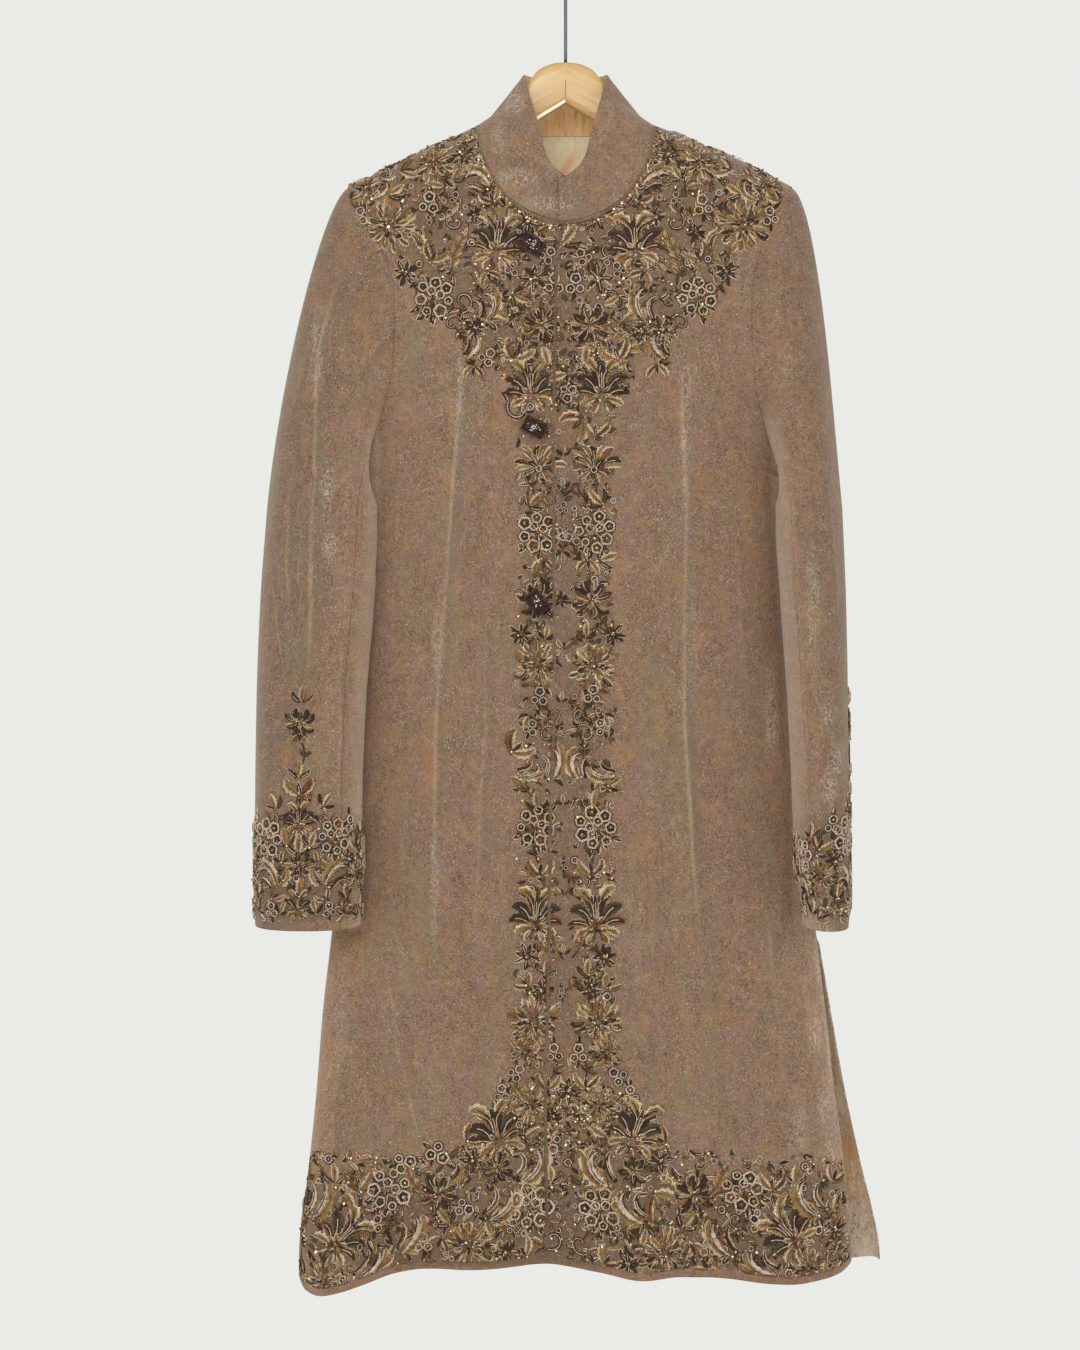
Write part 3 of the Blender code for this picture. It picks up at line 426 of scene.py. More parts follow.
def sheetPiece(name, grid, normals, thick, materials, flip, trim=None, inside=None, light=None):
    # a closed sheet whose outer face runs through grid; trim and inside pick the materials of its two faces
    rows, columns = grid.shape[:2]
    across = np.linalg.norm(np.gradient(grid, axis=1), axis=2).cumsum(axis=1)
    down = np.linalg.norm(np.gradient(grid, axis=0), axis=2).cumsum(axis=0)
    uv = np.stack([across, down], axis=2).reshape(-1, 2) * mm
    border = np.concatenate([np.arange(columns), columns * np.arange(2, rows + 1) - 1,
                             columns * (rows - 1) + np.arange(columns - 2, -1, -1),
                             columns * np.arange(rows - 2, 0, -1)])
    outer, inner = grid.reshape(-1, 3), (grid - normals * thick).reshape(-1, 3)
    rim = (outer[border] + inner[border]) / 2
    away = outer[border] - grid[np.clip(border // columns, 1, rows - 2), np.clip(border % columns, 1, columns - 2)]
    rim = rim + away / np.maximum(np.linalg.norm(away, axis=1, keepdims=True), 1e-9) * min(0.12, thick / 6)
    points = np.concatenate([outer, inner, rim])
    n = rows * columns
    faces = [gridFaces(rows, columns, 0, flip), gridFaces(rows, columns, n, not flip)]
    ring = 2 * n + np.arange(len(border))
    for a, b in ((border, ring), (ring, border + n)):
        quads = np.stack([a, np.roll(a, -1), np.roll(b, -1), b], axis=1)
        faces.append(quads[:, ::-1] if not flip else quads)
    trim = np.zeros(n - rows - columns + 1) if trim is None else trim.ravel()
    inside = np.ones_like(trim) if inside is None else inside.ravel()
    picks = np.concatenate([trim, inside, np.zeros(2 * len(border))])
    uv = np.concatenate([uv, uv, uv[border]])
    light = np.zeros((3, n, 3)) if light is None else light.reshape(3, n, 3)
    light = np.concatenate([light, light, light[:, border]], axis=1)
    return addPiece(name, points, np.concatenate(faces), materials, picks, uv, wear=wearAt(points), light=light)


def flatSize(grid):  # area of the outer face, in square metres
    a, b, c, d = grid[:-1, :-1], grid[1:, :-1], grid[1:, 1:], grid[:-1, 1:]
    return (np.linalg.norm(np.cross(c - a, d - b), axis=2) / 2).sum() * 1e-6


def tone(*parts):  # a colour as it looks, 0 to 255, made linear
    return tuple(c / 255 / 12.92 if c <= 10.3 else ((c / 255 + 0.055) / 1.055) ** 2.4 for c in parts) + (1.0,)


class Wire:  # an output socket that can be added, multiplied and so on
    def __init__(self, tree, socket):
        self.tree, self.socket = tree, socket

    def maths(self, operation, *values):
        made = self.tree.nodes.new("ShaderNodeMath")
        made.operation = operation
        for socket, value in zip(made.inputs, values):
            if isinstance(value, Wire):
                self.tree.links.new(value.socket, socket)
            else:
                socket.default_value = value
        return Wire(self.tree, made.outputs[0])

    def __add__(self, other):
        return self.maths("ADD", self, other)

    __radd__ = __add__

    def __sub__(self, other):
        return self.maths("SUBTRACT", self, other)

    def __rsub__(self, other):
        return self.maths("SUBTRACT", other, self)

    def __mul__(self, other):
        return self.maths("MULTIPLY", self, other)

    __rmul__ = __mul__

    def over(self, start, end):  # 0 at start, 1 at end
        made = self.tree.nodes.new("ShaderNodeMapRange")
        made.inputs["From Min"].default_value = start
        made.inputs["From Max"].default_value = end
        self.tree.links.new(self.socket, made.inputs["Value"])
        return Wire(self.tree, made.outputs[0])

    def wave(self):
        return self.maths("SINE", self)

    def size(self):
        return self.maths("ABSOLUTE", self)

    def most(self, other):
        return self.maths("MAXIMUM", self, other)


class Finish:  # a material and its nodes
    def __init__(self, name, sheen=(), coat=(), gloss=0.5, glow=0.0):
        self.made = bpy.data.materials.new(name)
        self.made.use_nodes = True
        self.tree = self.made.node_tree
        self.shader = self.tree.nodes["Principled BSDF"]
        self.set("Specular IOR Level", gloss)
        for layer, values in (("Sheen", sheen), ("Coat", coat)):
            for part, value in zip(("Weight", "Roughness", "Tint"), values):
                self.set(f"{layer} {part}", value)
        if glow:
            self.set("Emission Strength", glow)

    def set(self, name, value):
        socket = self.shader.inputs[name]
        if isinstance(value, Wire):
            self.tree.links.new(value.socket, socket)
        else:
            socket.default_value = value

    def node(self, kind, settings=None, sockets=None, out=0):
        made = self.tree.nodes.new(kind)
        for key, value in (settings or {}).items():
            if key == "stops":
                while len(made.color_ramp.elements) < len(value):
                    made.color_ramp.elements.new(0.5)
                for stop, (place, colour) in zip(made.color_ramp.elements, value):
                    stop.position, stop.color = place, colour
            else:
                setattr(made, key, value)
        for key, value in (sockets or {}).items():
            if isinstance(value, Wire):
                self.tree.links.new(value.socket, made.inputs[key])
            else:
                made.inputs[key].default_value = value
        return Wire(self.tree, made.outputs[out])

    def place(self, scale=(1, 1, 1), turn=(0, 0, 0), uv=None):  # where a point is on the object, in metres
        if uv:
            found = self.node("ShaderNodeUVMap", {"uv_map": uv})
        else:
            found = self.node("ShaderNodeTexCoord", out=3)
        if scale == (1, 1, 1) and turn == (0, 0, 0):
            return found
        return self.node("ShaderNodeMapping", {}, {"Vector": found, "Scale": scale, "Rotation": turn})

    def noise(self, scale, detail=2.0, rough=0.5, at=None, bend=0.0):
        return self.node("ShaderNodeTexNoise", {}, {"Vector": at or self.place(), "Scale": scale, "Detail": detail,
                                                    "Roughness": rough, "Distortion": bend})

    def mix(self, factor, first, second, mode="MIX"):  # colours
        return self.node("ShaderNodeMix", {"data_type": "RGBA", "blend_type": mode},
                         {0: factor, 6: first, 7: second}, out=2)

    def ramp(self, value, *stops):
        return self.node("ShaderNodeValToRGB", {"stops": stops}, {0: value})

    def part(self, vector, k=0):  # one part of a vector
        return self.node("ShaderNodeSeparateXYZ", {}, {0: vector}, k)

    def drawn(self, name, k=0):  # a value that was laid on the cloth's points
        return self.part(self.node("ShaderNodeAttribute", {"attribute_name": name}, out=1), k)

    def painted(self, colour):  # cloth that also glows a little in its own colour: painted light
        self.set("Base Color", colour)
        self.set("Emission Color", colour)

    def bump(self, height, distance, strength=1.0):
        sockets = {"Height": height, "Distance": distance, "Strength": strength}
        self.set("Normal", self.node("ShaderNodeBump", {}, sockets))
        return self.made


def velvetFinish(name, low, high, warm, cool, shine=1.0, glow=0.0, amber=None):
    velvet = dict(pile=1500.0, speck=700.0, rib=900.0, patch=36.0, tint=150.0, figure=30.0, streak=340.0)
    made = Finish(name, sheen=(0.5, 0.45, tone(198, 190, 178)), gloss=0.2, glow=glow or 0.4)
    speck = made.noise(velvet["speck"], 3, 0.75)
    rib = made.noise(velvet["rib"], 3, 0.7, made.place(scale=(1.0, 0.5, 0.085)))  # upright lines in the pile
    cross = made.noise(velvet["rib"] * 0.8, 2, 0.7, made.place(scale=(0.3, 0.5, 1.0)))
    fine = speck * 0.74 + rib * 0.16 + cross * 0.1
    colour = made.mix(fine.over(0.43, 0.585), low, high)
    for turn, often, tinted, share, end, hue in (((0, 0, 0), 1.0, 1.0, 0.45, 0.64, warm),
                                                 ((0.4, 0.9, 0.2), 1.2, 1.35, 0.5, 0.63, cool)):
        wide = made.noise(velvet["patch"] * often, 4, 0.68, made.place(scale=(1.3, 1.0, 0.7), turn=turn), 0.6)
        small = made.noise(velvet["tint"] * tinted, 4, 0.75, made.place(scale=(1.0, 1.0, 0.6), turn=turn), 0.5)
        colour = made.mix((wide * (1 - share) + small * share).over(0.49, end) * 0.7, colour, hue)
    olive = made.noise(velvet["patch"] * 0.8, 4, 0.7, made.place(scale=(1.6, 1.0, 0.5), turn=(0.1, 0.2, 0.9)), 0.5)
    colour = made.mix(olive.over(0.51, 0.66) * 0.48, colour, tone(113, 108, 80))
    for turn, hue in (((0.5, 0.1, 0.3), tone(156, 112, 62)), ((0.2, 0.7, 0.6), tone(124, 106, 112))):
        glint = made.noise(velvet["speck"] * 0.8, 2, 0.8, made.place(turn=turn))
        colour = made.mix(glint.over(0.5, 0.62) * 0.4, colour, hue)
    # a faint veined figure woven in the pile, the same on both sides of the coat
    across, height = (made.part(made.place(), k) for k in (0, 2))
    mirrored = made.node("ShaderNodeCombineXYZ", {}, {"X": across.size(), "Y": 0.0, "Z": height})
    line = 1.0 - (made.noise(velvet["figure"], 3, 0.6, mirrored, 2.2) - 0.5).size().over(0.0, 0.03)
    colour = made.mix(line * speck.over(0.25, 0.6) * 0.26, colour, tone(170, 146, 116))
    # painted light: cloth turned to the side is lightened; the stitched ground is darker
    sideLight, stitched = (made.drawn(which, 2) for which in ("CreaseA", "CreaseB"))
    lit = 1.0 + sideLight * 0.27 - stitched * 0.13
    colour = made.node("ShaderNodeVectorMath", {"operation": "SCALE"}, {0: colour, "Scale": lit})
    colour = made.mix(stitched * (0.02 + 0.22 * speck), colour, tone(88, 72, 55))
    # pile that was crushed and went pale
    wear = made.node("ShaderNodeAttribute", {"attribute_name": "Wear"}, out=2)
    streak = made.noise(velvet["streak"], 4, 0.75, made.place(scale=(1.3, 1.0, 0.42), turn=(0, 0.3, 0)), 1.6)
    everywhere = made.noise(16.0, 3, 0.6, made.place(scale=(1.5, 1.0, 0.5)), 0.8).over(0.58, 0.74) * 0.3
    ragged = made.noise(velvet["streak"] * 3.1, 3, 0.8, made.place(scale=(1.2, 1.0, 0.6)), 0.5)
    if amber:
        among = (height - amber).size().over(0.012, 0.04)
        colour = made.mix((1.0 - among) * 0.7, colour, tone(190, 132, 84))
    flecks = made.noise(velvet["streak"] * 1.7, 4, 0.85, made.place(scale=(1.4, 1.0, 0.5), turn=(0, -0.3, 0)), 2.0)
    bends = made.noise(135.0, 3, 0.6, made.place(scale=(1.3, 1.0, 0.75)), 1.8)
    thin = (1.0 - (bends - 0.5).size() * (22.0 - wear.over(0.9, 1.6) * 14.0)).over(0.0, 0.6)
    bent = thin * (flecks * 0.6 + ragged * 0.4).over(0.34, 0.54) * (wear + everywhere).over(0.16, 0.7)
    if amber:
        cloud = made.noise(58.0, 4, 0.7, made.place(scale=(1.2, 1.0, 0.8), turn=(0, 0.6, 0)), 1.6)
        torn = cloud.over(0.5, 0.53) * wear.over(0.1, 0.5) * (0.3 + ragged.over(0.4, 0.6) * 0.7)
        bent = bent.most(torn)
    colour = made.mix(bent * (0.86 if amber else 0.62), colour, tone(214, 204, 186) if amber else tone(206, 197, 182))
    # the creases: a pale line on each ridge, partly crushed pile and partly painted highlight, with painted shade
    # beside it and in the troughs
    for which in ("CreaseA", "CreaseB"):
        away, light = (made.drawn(which, k) for k in (0, 1))
        ridge = (1.0 - away.size().over(0.2, 2.6)) * (streak * 0.6 + flecks * 0.6).over(0.46, 0.68)
        beside = 1.0 - (away - 5.0).size().over(0.8, 5.8)
        troughShade = (1.0 - away.size().over(0.4, 4.0)) * (0.0 - light).over(0.0, 1.0)
        colour = made.mix(beside * light.over(0.0, 1.0) * (0.26 + 0.56 * rib), colour, tone(98, 92, 76))
        frayed = 0.24 + ragged.over(0.3, 0.7) * 0.6
        colour = made.mix(ridge * light.over(0.0, 1.0) * frayed, colour, tone(182, 162, 136))
        colour = made.mix(troughShade * 0.55, colour, tone(70, 58, 48))
    # rare pale points: the glitter, with its glints painted into the colour
    dots = made.node("ShaderNodeTexVoronoi", {"feature": "F1"}, {"Vector": made.place(), "Scale": 560.0})
    seldom = made.noise(310.0, 0, 0.5).over(0.45, 0.53) * made.noise(42.0, 3, 0.7).over(0.38, 0.58)
    point = (1.0 - dots.over(0.1, 0.26)) * seldom
    colour = made.mix(point * 0.8 * shine, colour, tone(224, 204, 192))
    made.set("Base Color", colour)
    # painted light: a greyed glow of the cloth's colour in deep, narrow places where the sleeves meet the body; a
    # finish given its own glow glows all over in its colour
    gathered = made.mix(made.drawn("Deep"), tone(0, 0, 0), made.mix(0.5, colour, tone(128, 119, 106)))
    made.set("Emission Color", colour if glow else gathered)
    made.set("Roughness", 0.92 - 0.2 * bent)
    pile = made.noise(velvet["pile"], 2, 0.6)
    return made.bump(pile * 0.4 + fine * 1.2 - bent * 0.6, 0.0012, 0.5)


def facingFinish():
    # painted light: the facing glows a little in its own colour
    made = Finish("collar_facing", sheen=(0.3, 0.5), gloss=0.2, glow=0.36)
    folds = made.noise(75.0, 4, 0.75, made.place(scale=(1.9, 1.0, 0.16), turn=(0, 0.06, 0)), 0.4)
    grain = made.noise(620.0, 3, 0.7, made.place(scale=(1.0, 1.0, 0.3)))
    hue = made.noise(70.0, 3, 0.7, made.place(scale=(1.3, 1.0, 0.5)))
    # the colour follows the folds: painted shade in their hollows, painted light on their tops
    colour = made.ramp(folds, (0.34, tone(150, 112, 72)), (0.48, tone(190, 155, 110)), (0.66, tone(206, 170, 122)))
    colour = made.mix(grain.over(0.4, 0.6) * 0.3, colour, tone(170, 134, 92))
    colour = made.mix(hue.over(0.5, 0.66) * 0.45, colour, tone(204, 150, 112))
    made.painted(colour)
    made.set("Roughness", 0.8 + 0.15 * grain)
    return made.bump(folds + grain * 0.2, 0.0016, 0.5)


def liningFinish():
    # painted light: the lining glows a little in its own colour, which lifts the shade inside the neck
    made = Finish("lining_satin", sheen=(0.15, 0.3), glow=0.15)
    across, height = (made.part(made.place(), k) for k in (0, 2))
    shade = made.noise(9.0, 3, 0.5, made.place(scale=(1, 1, 0.4)), 0.4)
    grain = made.noise(600.0, 2, 0.5, made.place(scale=(1.0, 1.0, 0.08)))
    colour = made.mix(shade.over(0.3, 0.7), tone(202, 191, 157), tone(226, 216, 186))
    colour = made.mix(grain.over(0.35, 0.65) * 0.3, colour, tone(190, 172, 130))
    seam = (1.0 - (across - 0.0092).size().over(0.0002, 0.0011)) * 0.5
    slant = 1.0 - (across - (height + 0.2025) * 0.68).size().over(0.001, 0.0075)
    pucker = slant * height.over(-0.184, -0.195) * (0.5 + shade)
    colour = made.mix(seam.most(pucker * 0.8), colour, tone(214, 166, 132))
    made.painted(colour)
    made.set("Roughness", 0.42 + 0.2 * shade)
    return made.bump(grain, 0.0004, 0.4)


def bevelHighlightFinish():
    # a painted highlight: near-white colour with a glow on the hanger's lower bevel
    made = Finish("hanger_edge_painted_highlight", coat=(0.6, 0.1), gloss=0.6, glow=0.3)
    colour = made.mix(made.noise(60.0, 2), tone(236, 222, 196), tone(250, 243, 228))
    made.painted(colour)
    made.set("Roughness", 0.25 + 0.2 * made.noise(90.0, 2))
    return made.bump(made.noise(200.0, 2), 0.0002, 0.2)


def woodFinish():
    made = Finish("hanger_maple", coat=(0.4, 0.2), gloss=0.45)
    across, depth, height = (made.part(made.place(), k) for k in range(3))
    across = across.size()  # the same on both arms
    along = made.node("ShaderNodeCombineXYZ", {}, {"X": across, "Y": depth, "Z": height + across * 0.5})
    wide, close = (made.node("ShaderNodeMapping", {}, {"Vector": along, "Scale": scale})
                   for scale in ((5.0, 30.0, 46.0), (3.0, 50.0, 60.0)))
    grain, fine = made.noise(5.0, 5, 0.6, wide, 0.5), made.noise(24.0, 3, 0.7, close)
    colour = made.ramp(grain, (0.3, tone(172, 136, 82)), (0.5, tone(188, 153, 99)), (0.7, tone(199, 167, 115)))
    colour = made.mix(fine.over(0.54, 0.76) * 0.4, colour, tone(164, 126, 80))
    rings = (height * 2300.0 + across * 1150.0 + grain * 14.0 + made.noise(60.0, 3) * 5.0).wave()
    colour = made.mix(rings.over(0.3, 1.0) * (0.15 + fine * 0.4), colour, tone(168, 127, 76))
    joint = 1.0 - across.over(0.0002, 0.0007)
    made.set("Base Color", made.mix(joint * 0.3, colour, tone(150, 112, 70)))
    made.set("Roughness", 0.34 + 0.18 * fine)
    made.set("Coat Weight", 0.35 + 0.1 * grain)
    return made.bump(fine + rings * 0.2, 0.0003, 0.35)


def steelFinish():
    made = Finish("hook_steel")
    made.set("Metallic", 1.0)
    rub = made.noise(420.0, 4, 0.7, made.place(scale=(1.0, 1.0, 0.2)))
    made.set("Base Color", made.mix(rub.over(0.3, 0.7), tone(74, 74, 78), tone(112, 111, 112)))
    made.set("Roughness", 0.3 + 0.22 * rub)
    return made.bump(rub, 0.0002, 0.2)


def threadFinish(name, low, high, shine, metal=0.0, gloss=0.5):  # rows of stitches that run across the Stitch map
    made = Finish(name, sheen=(0.3 * gloss, 0.3, tone(226, 206, 176)), gloss=gloss)
    run = made.part(made.place(uv="Stitch"))
    grain = made.noise(1500.0, 2, 0.6)
    each = made.noise(620.0, 1, 0.5)
    rows = (run * 3500.0 + each * 3.0).wave() * 0.5 + 0.5
    patch = made.noise(170.0, 3, 0.7)
    colour = made.mix(rows * 0.75 + grain * 0.25, low, high)
    for turn, hue, much in (((0.3, 0.2, 0.7), tone(196, 118, 104), 0.42), ((0.7, 0.5, 0.1), tone(96, 110, 78), 0.3),
                            ((0.1, 0.9, 0.4), tone(206, 146, 60), 0.5)):
        shift = made.noise(210.0, 3, 0.75, made.place(turn=turn)).over(0.52, 0.62) * much
        colour = made.mix(shift, colour, hue, "COLOR")
    made.set("Base Color", made.mix(patch.over(0.44, 0.66) * 0.6, colour, low))
    made.set("Roughness", shine + 0.25 * (1.0 - rows))
    made.set("Metallic", metal)
    return made.bump(rows + grain * 0.5, 0.0006, 0.7)


finishes = dict(
    velvet=velvetFinish("velvet_pile", tone(79, 62, 49), tone(137, 110, 88), tone(146, 108, 67), tone(130, 98, 96)),
    facing=facingFinish(),
    turned=velvetFinish("turned_edge", tone(86, 66, 52), tone(134, 104, 84), tone(146, 104, 72), tone(118, 98, 90),
                        shine=0.4),
    # the slit's facing: its lighter tones and small glow of its own colour are partly painted light, lifting the shade
    # behind the front
    slit=velvetFinish("slit_facing", tone(120, 94, 74), tone(178, 146, 120), tone(186, 138, 98), tone(160, 138, 126),
                      shine=0.6, glow=0.06, amber=-1.113),
    lining=liningFinish(),
    wood=woodFinish(),
    bevel=bevelHighlightFinish(),
    steel=steelFinish(),
)
print("finishes made")


def finer(rows, step):
    parts = [np.linspace(a, b, max(2, math.ceil(abs(b - a) / step) + 1))[:-1] for a, b in zip(rows, rows[1:])]
    return np.concatenate(parts + [[rows[-1]]])


def frontRows():
    neck = finer((-173.2, -180, -190, -202, -215, -228, -239, -250, -259, -264.5, -266.99), 3.6)
    down = finer((-274, -490, -908, cloth["hem"] + cloth["turnedEdge"], cloth["hem"]), 7.0)
    return neck, down


def frontGrid(side, columns=62):
    edge = rightEdge if side > 0 else leftEdge
    neck, down = frontRows()
    point, base = cloth["neckPoint"], cloth["neckBase"]
    starts = [side * cloth["neckWidth"] * math.sqrt(1 - ((z - point) / (base - point)) ** 2) for z in neck]
    rows = list(zip(neck, starts)) + [(z, float(smooth(edge, "x", z))) for z in down]
    shares = np.linspace(0, 1, columns)
    grid = []
    for z, xFrom in rows:
        xTo = side * float(halfWidth(z, side > 0)) * outerShare(z, "left" if side < 0 else "right")
        xs = alongSection(z, xFrom, xTo, shares)
        y = bodyY(xs, z)
        share = np.abs(xs) / float(halfWidth(z, side > 0))
        y = y - cloth["seam"] / 2 * ramp(share, 0.97, 1.0)
        if side < 0:
            y = y + covered(xs, z) * (cloth["thick"] + cloth["layer"])
        else:
            y = y + settled(xs, z)
        grid.append(np.stack([xs, y, hemRow(xs, z, hemFront)], axis=1))
    grid = np.array(grid)
    seamRows = [i for i, row in enumerate(rows) if not cloth["underarm"] < row[0] < cloth["shoulderTip"]]
    return grid, normalsOf(grid, side, [(-1, seamRows)])


def backGrid(rows, reach=1.0, columns=47):
    grid = []
    for z in rows:
        halves = []
        for side in (-1, 1):
            xTo = side * float(halfWidth(z, side > 0, True)) * outerShare(z, "back")
            xs = alongSection(z, 0.0, xTo, np.linspace(0, 1, columns) * reach, behind=True)
            y = bodyY(xs, z, True) + cloth["seam"] / 2 * ramp(np.abs(xs / xTo), 0.97, 1.0)
            halves.append(np.stack([xs, y, hemRow(xs, z, hemBack)], axis=1))
        grid.append(np.concatenate([halves[0][::-1], halves[1][1:]]))
    grid = np.array(grid)
    ends = reach == 1.0
    seamRows = [i for i, z in enumerate(rows) if ends and not cloth["underarm"] < z < cloth["shoulderTip"]]
    return grid, normalsOf(grid, -1, [(0, seamRows), (-1, seamRows)] if ends else ())


def sleeveRing(side, z):
    table = sleeveRight if side > 0 else sleeveLeft
    outer, inner, middle, depth, square = (float(smooth(table, key, z))
                                           for key in ("outer", "inner", "middle", "depth", "square"))
    # it leans on the body
    inner -= side * (5.0 if side > 0 else 2.5) * float(ramp(-z, 450, 560) * (1 - ramp(-z, 830, 880)))
    turn = 2 * math.pi * np.arange(sleeve["steps"]) / sleeve["steps"]
    c, s = np.cos(turn), np.sin(turn)
    x = (outer + inner) / 2 + (outer - inner) / 2 * np.sign(c) * np.abs(c) ** (2 / square)
    y = middle - depth * np.sign(s) * np.abs(s) ** (2 / square)
    if z < cloth["underarm"]:
        bodyMiddle = float(smooth(body, "middle", z))
        reach = np.where(y < bodyMiddle, float(smooth(body, "front", z)), float(smooth(body, "back", z)))
        share = np.minimum(1.0, np.abs(y - bodyMiddle) / reach)
        bodySquare = float(smooth(body, "square", z))
        limit = float(halfWidth(z, side > 0)) * (1 - share ** bodySquare) ** (1 / bodySquare) + sleeve["clear"]
        x = np.where((share < 1) & (side * x < limit), side * limit, x)
    lift = sleeve["cuffSlope"] * (y - middle) * ramp(-z, -sleeve["cuff"] - 120, -sleeve["cuff"])
    return np.stack([x, y, z + lift], axis=1)


def armholeLoop(side):
    halves = []
    for which, behind in (("left" if side < 0 else "right", False), ("back", True)):
        z = np.linspace(cloth["shoulderTip"], cloth["underarm"], 160)
        x = side * halfWidth(z, side > 0) * smooth(armhole, which, z)
        line = np.stack([x, bodyY(x, z, behind), z], axis=1)
        halves += evenly(line, lengths(line), sleeve["steps"] // 2 + 1)
    return np.concatenate([halves[0], halves[1][-2:0:-1]])


def sleeveGrid(side):
    start, end = armholeLoop(side), sleeveRing(side, sleeve["bicep"])
    under = 1 - np.abs(1 - 2 * np.arange(sleeve["steps"]) / sleeve["steps"])
    leave = np.stack([side * (0.93 - 0.5 * under), 0 * under, -(0.37 + 0.53 * under)], axis=1)
    leave /= np.linalg.norm(leave, axis=1, keepdims=True)
    start = start - leave * 0.7  # tucked a little under the edge of the armhole
    start[:, 1] -= np.sign(start[:, 1]) * 0.7
    start[:, 0] += side * 0.5 * under
    reach = np.linalg.norm(end - start, axis=1, keepdims=True)
    first = start + leave * reach * (sleeve["capLift"] + sleeve["capMore"] * under[:, None])
    second = end + np.array([-side * 0.09, 0, 1]) / math.hypot(0.09, 1) * reach * sleeve["capFall"]
    rows = [start * (1 - t) ** 3 + first * 3 * t * (1 - t) ** 2 + second * 3 * t * t * (1 - t) + end * t ** 3
            for t in np.linspace(0, 1, 30)[:-1]]
    edge = sleeve["cuff"] + cloth["turnedEdge"]
    rows += [sleeveRing(side, z) for z in finer((sleeve["bicep"], edge, sleeve["cuff"]), 8.0)]
    grid = np.array(rows)
    normals = normalsOf(grid, -side, ring=True)
    degrees = np.arange(sleeve["steps"]) * 360 / sleeve["steps"]
    raised = creaseHeight([row[1:] for row in sleeveCreases if row[0] == side], degrees, grid[:, :, 2])
    grid = grid + normals * raised[:, :, None]
    return grid, normalsOf(grid, -side, ring=True)


def sleevePieces(side):
    grid, normals = sleeveGrid(side)
    (first, last), steps = sleeve["under"], sleeve["steps"]
    around = np.arange(last, steps + first + 1) % steps
    light = paintedLightAndStitches(grid, normals, side)
    pieces = []
    for columns in (around, np.arange(first, last + 1)):
        piece = grid[:, columns].copy()
        for edge, beside in ((0, 1), (-1, -2)):
            away = piece[:, beside] - piece[:, edge]
            piece[:, edge] += away / np.linalg.norm(away, axis=1, keepdims=True) * cloth["seam"]
        pieces.append((piece, normals[:, columns], light[:, :, columns]))
    return pieces


def collarGrid():
    v = np.linspace(0, 1, 61)
    front = v <= 0.5
    turn = np.radians(np.where(front, 90 * (1 - 2 * v), 90 * (2 * v - 1)))
    low = np.where(front, cloth["neckBase"], cloth["backNeck"])
    x = cloth["neckWidth"] * np.cos(turn)
    z = cloth["neckPoint"] + (low - cloth["neckPoint"]) * np.sin(turn)
    y = np.where(front, bodyY(-x, z), bodyY(x, z, True))
    foot = np.stack([x, y, z], axis=1)
    top = np.stack([smooth(collarTop, axis, v, key="v") for axis in "xyz"], axis=1)
    rise = (top - foot) / np.linalg.norm(top - foot, axis=1, keepdims=True)
    foot = foot + rise * cloth["collarSeam"]
    near = 1 - ramp(v, 0.0, 0.22)
    rows = []
    for level in np.linspace(0, 1, 16):
        line = foot + (top - foot) * level
        outwards = line * np.array([1, 1, 0])
        outwards /= np.linalg.norm(outwards, axis=1, keepdims=True)
        line = line - outwards * (collar["hollow"] * math.sin(math.pi * level) * ramp(v, 0.1, 0.5))[:, None]
        line[:, 0] -= collar["lap"] / 2 * near
        left = line * np.array([-1, 1, 1])
        left[:, 1] += (cloth["collarThick"] + cloth["layer"]) * near
        rows.append(np.concatenate([left, line[-2::-1]]))
    return np.array(rows)


def dress(piece, node, area=None):
    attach(piece, "root")
    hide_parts(node)
    return piece


def cutPiece(node, sheet, light, flip, turned, facing, rests, kinds=3):
    # the rows from turned on are the strip turned up; facing lists parts of the inside and their materials
    grid, normals = sheet
    trim = np.zeros((grid.shape[0] - 1, grid.shape[1] - 1))
    trim[turned:] = 2
    inside = np.ones_like(trim)
    for rows, columns, kind in facing:
        inside[rows, columns] = kind
    materials = [finishes[key] for key in ("velvet", "lining", "turned", "slit")[:kinds]]
    made = sheetPiece("velvet_" + node, grid, normals, cloth["thick"], materials, flip, trim, inside, light)
    dress(made, node, flatSize(grid))
    print(node, "area", round(flatSize(grid), 4))


turnedUp, hemFacing = cloth["hem"] + cloth["turnedEdge"], -1130
neck, down = frontRows()
for side, name, flat in ((-1, "left", (0.30, 1.05)), (1, "right", (0.33, 1.05))):
    grid, normals = frontGrid(side)
    turned, faced = (neck.size + np.searchsorted(-down, -z) for z in (turnedUp, hemFacing))
    cutPiece("front_" + name, (grid, normals), paintedLightAndStitches(grid, normals), side < 0, turned,
             [(slice(faced, None), slice(None), 0)], ["hanger_arm_" + name])

rows = finer((cloth["backNeck"], -182, -190, -202, -215, cloth["shoulderTip"], -236, -250, -275, cloth["underarm"],
              cloth["slitTop"], turnedUp, cloth["hem"]), 7.0)
grid, normals = backGrid(rows)
turned, slit, faced = (np.searchsorted(-rows, -z) for z in (turnedUp, cloth["slitTop"] + 30, hemFacing))
cutPiece("back", (grid, normals), paintedLightAndStitches(grid, normals), True, turned,
         [(slice(slit, None), [*range(20), *range(-20, 0)], 3), (slice(faced, None), slice(None), 3)],
         ["hanger_arm_left", "hanger_arm_right"], 4)

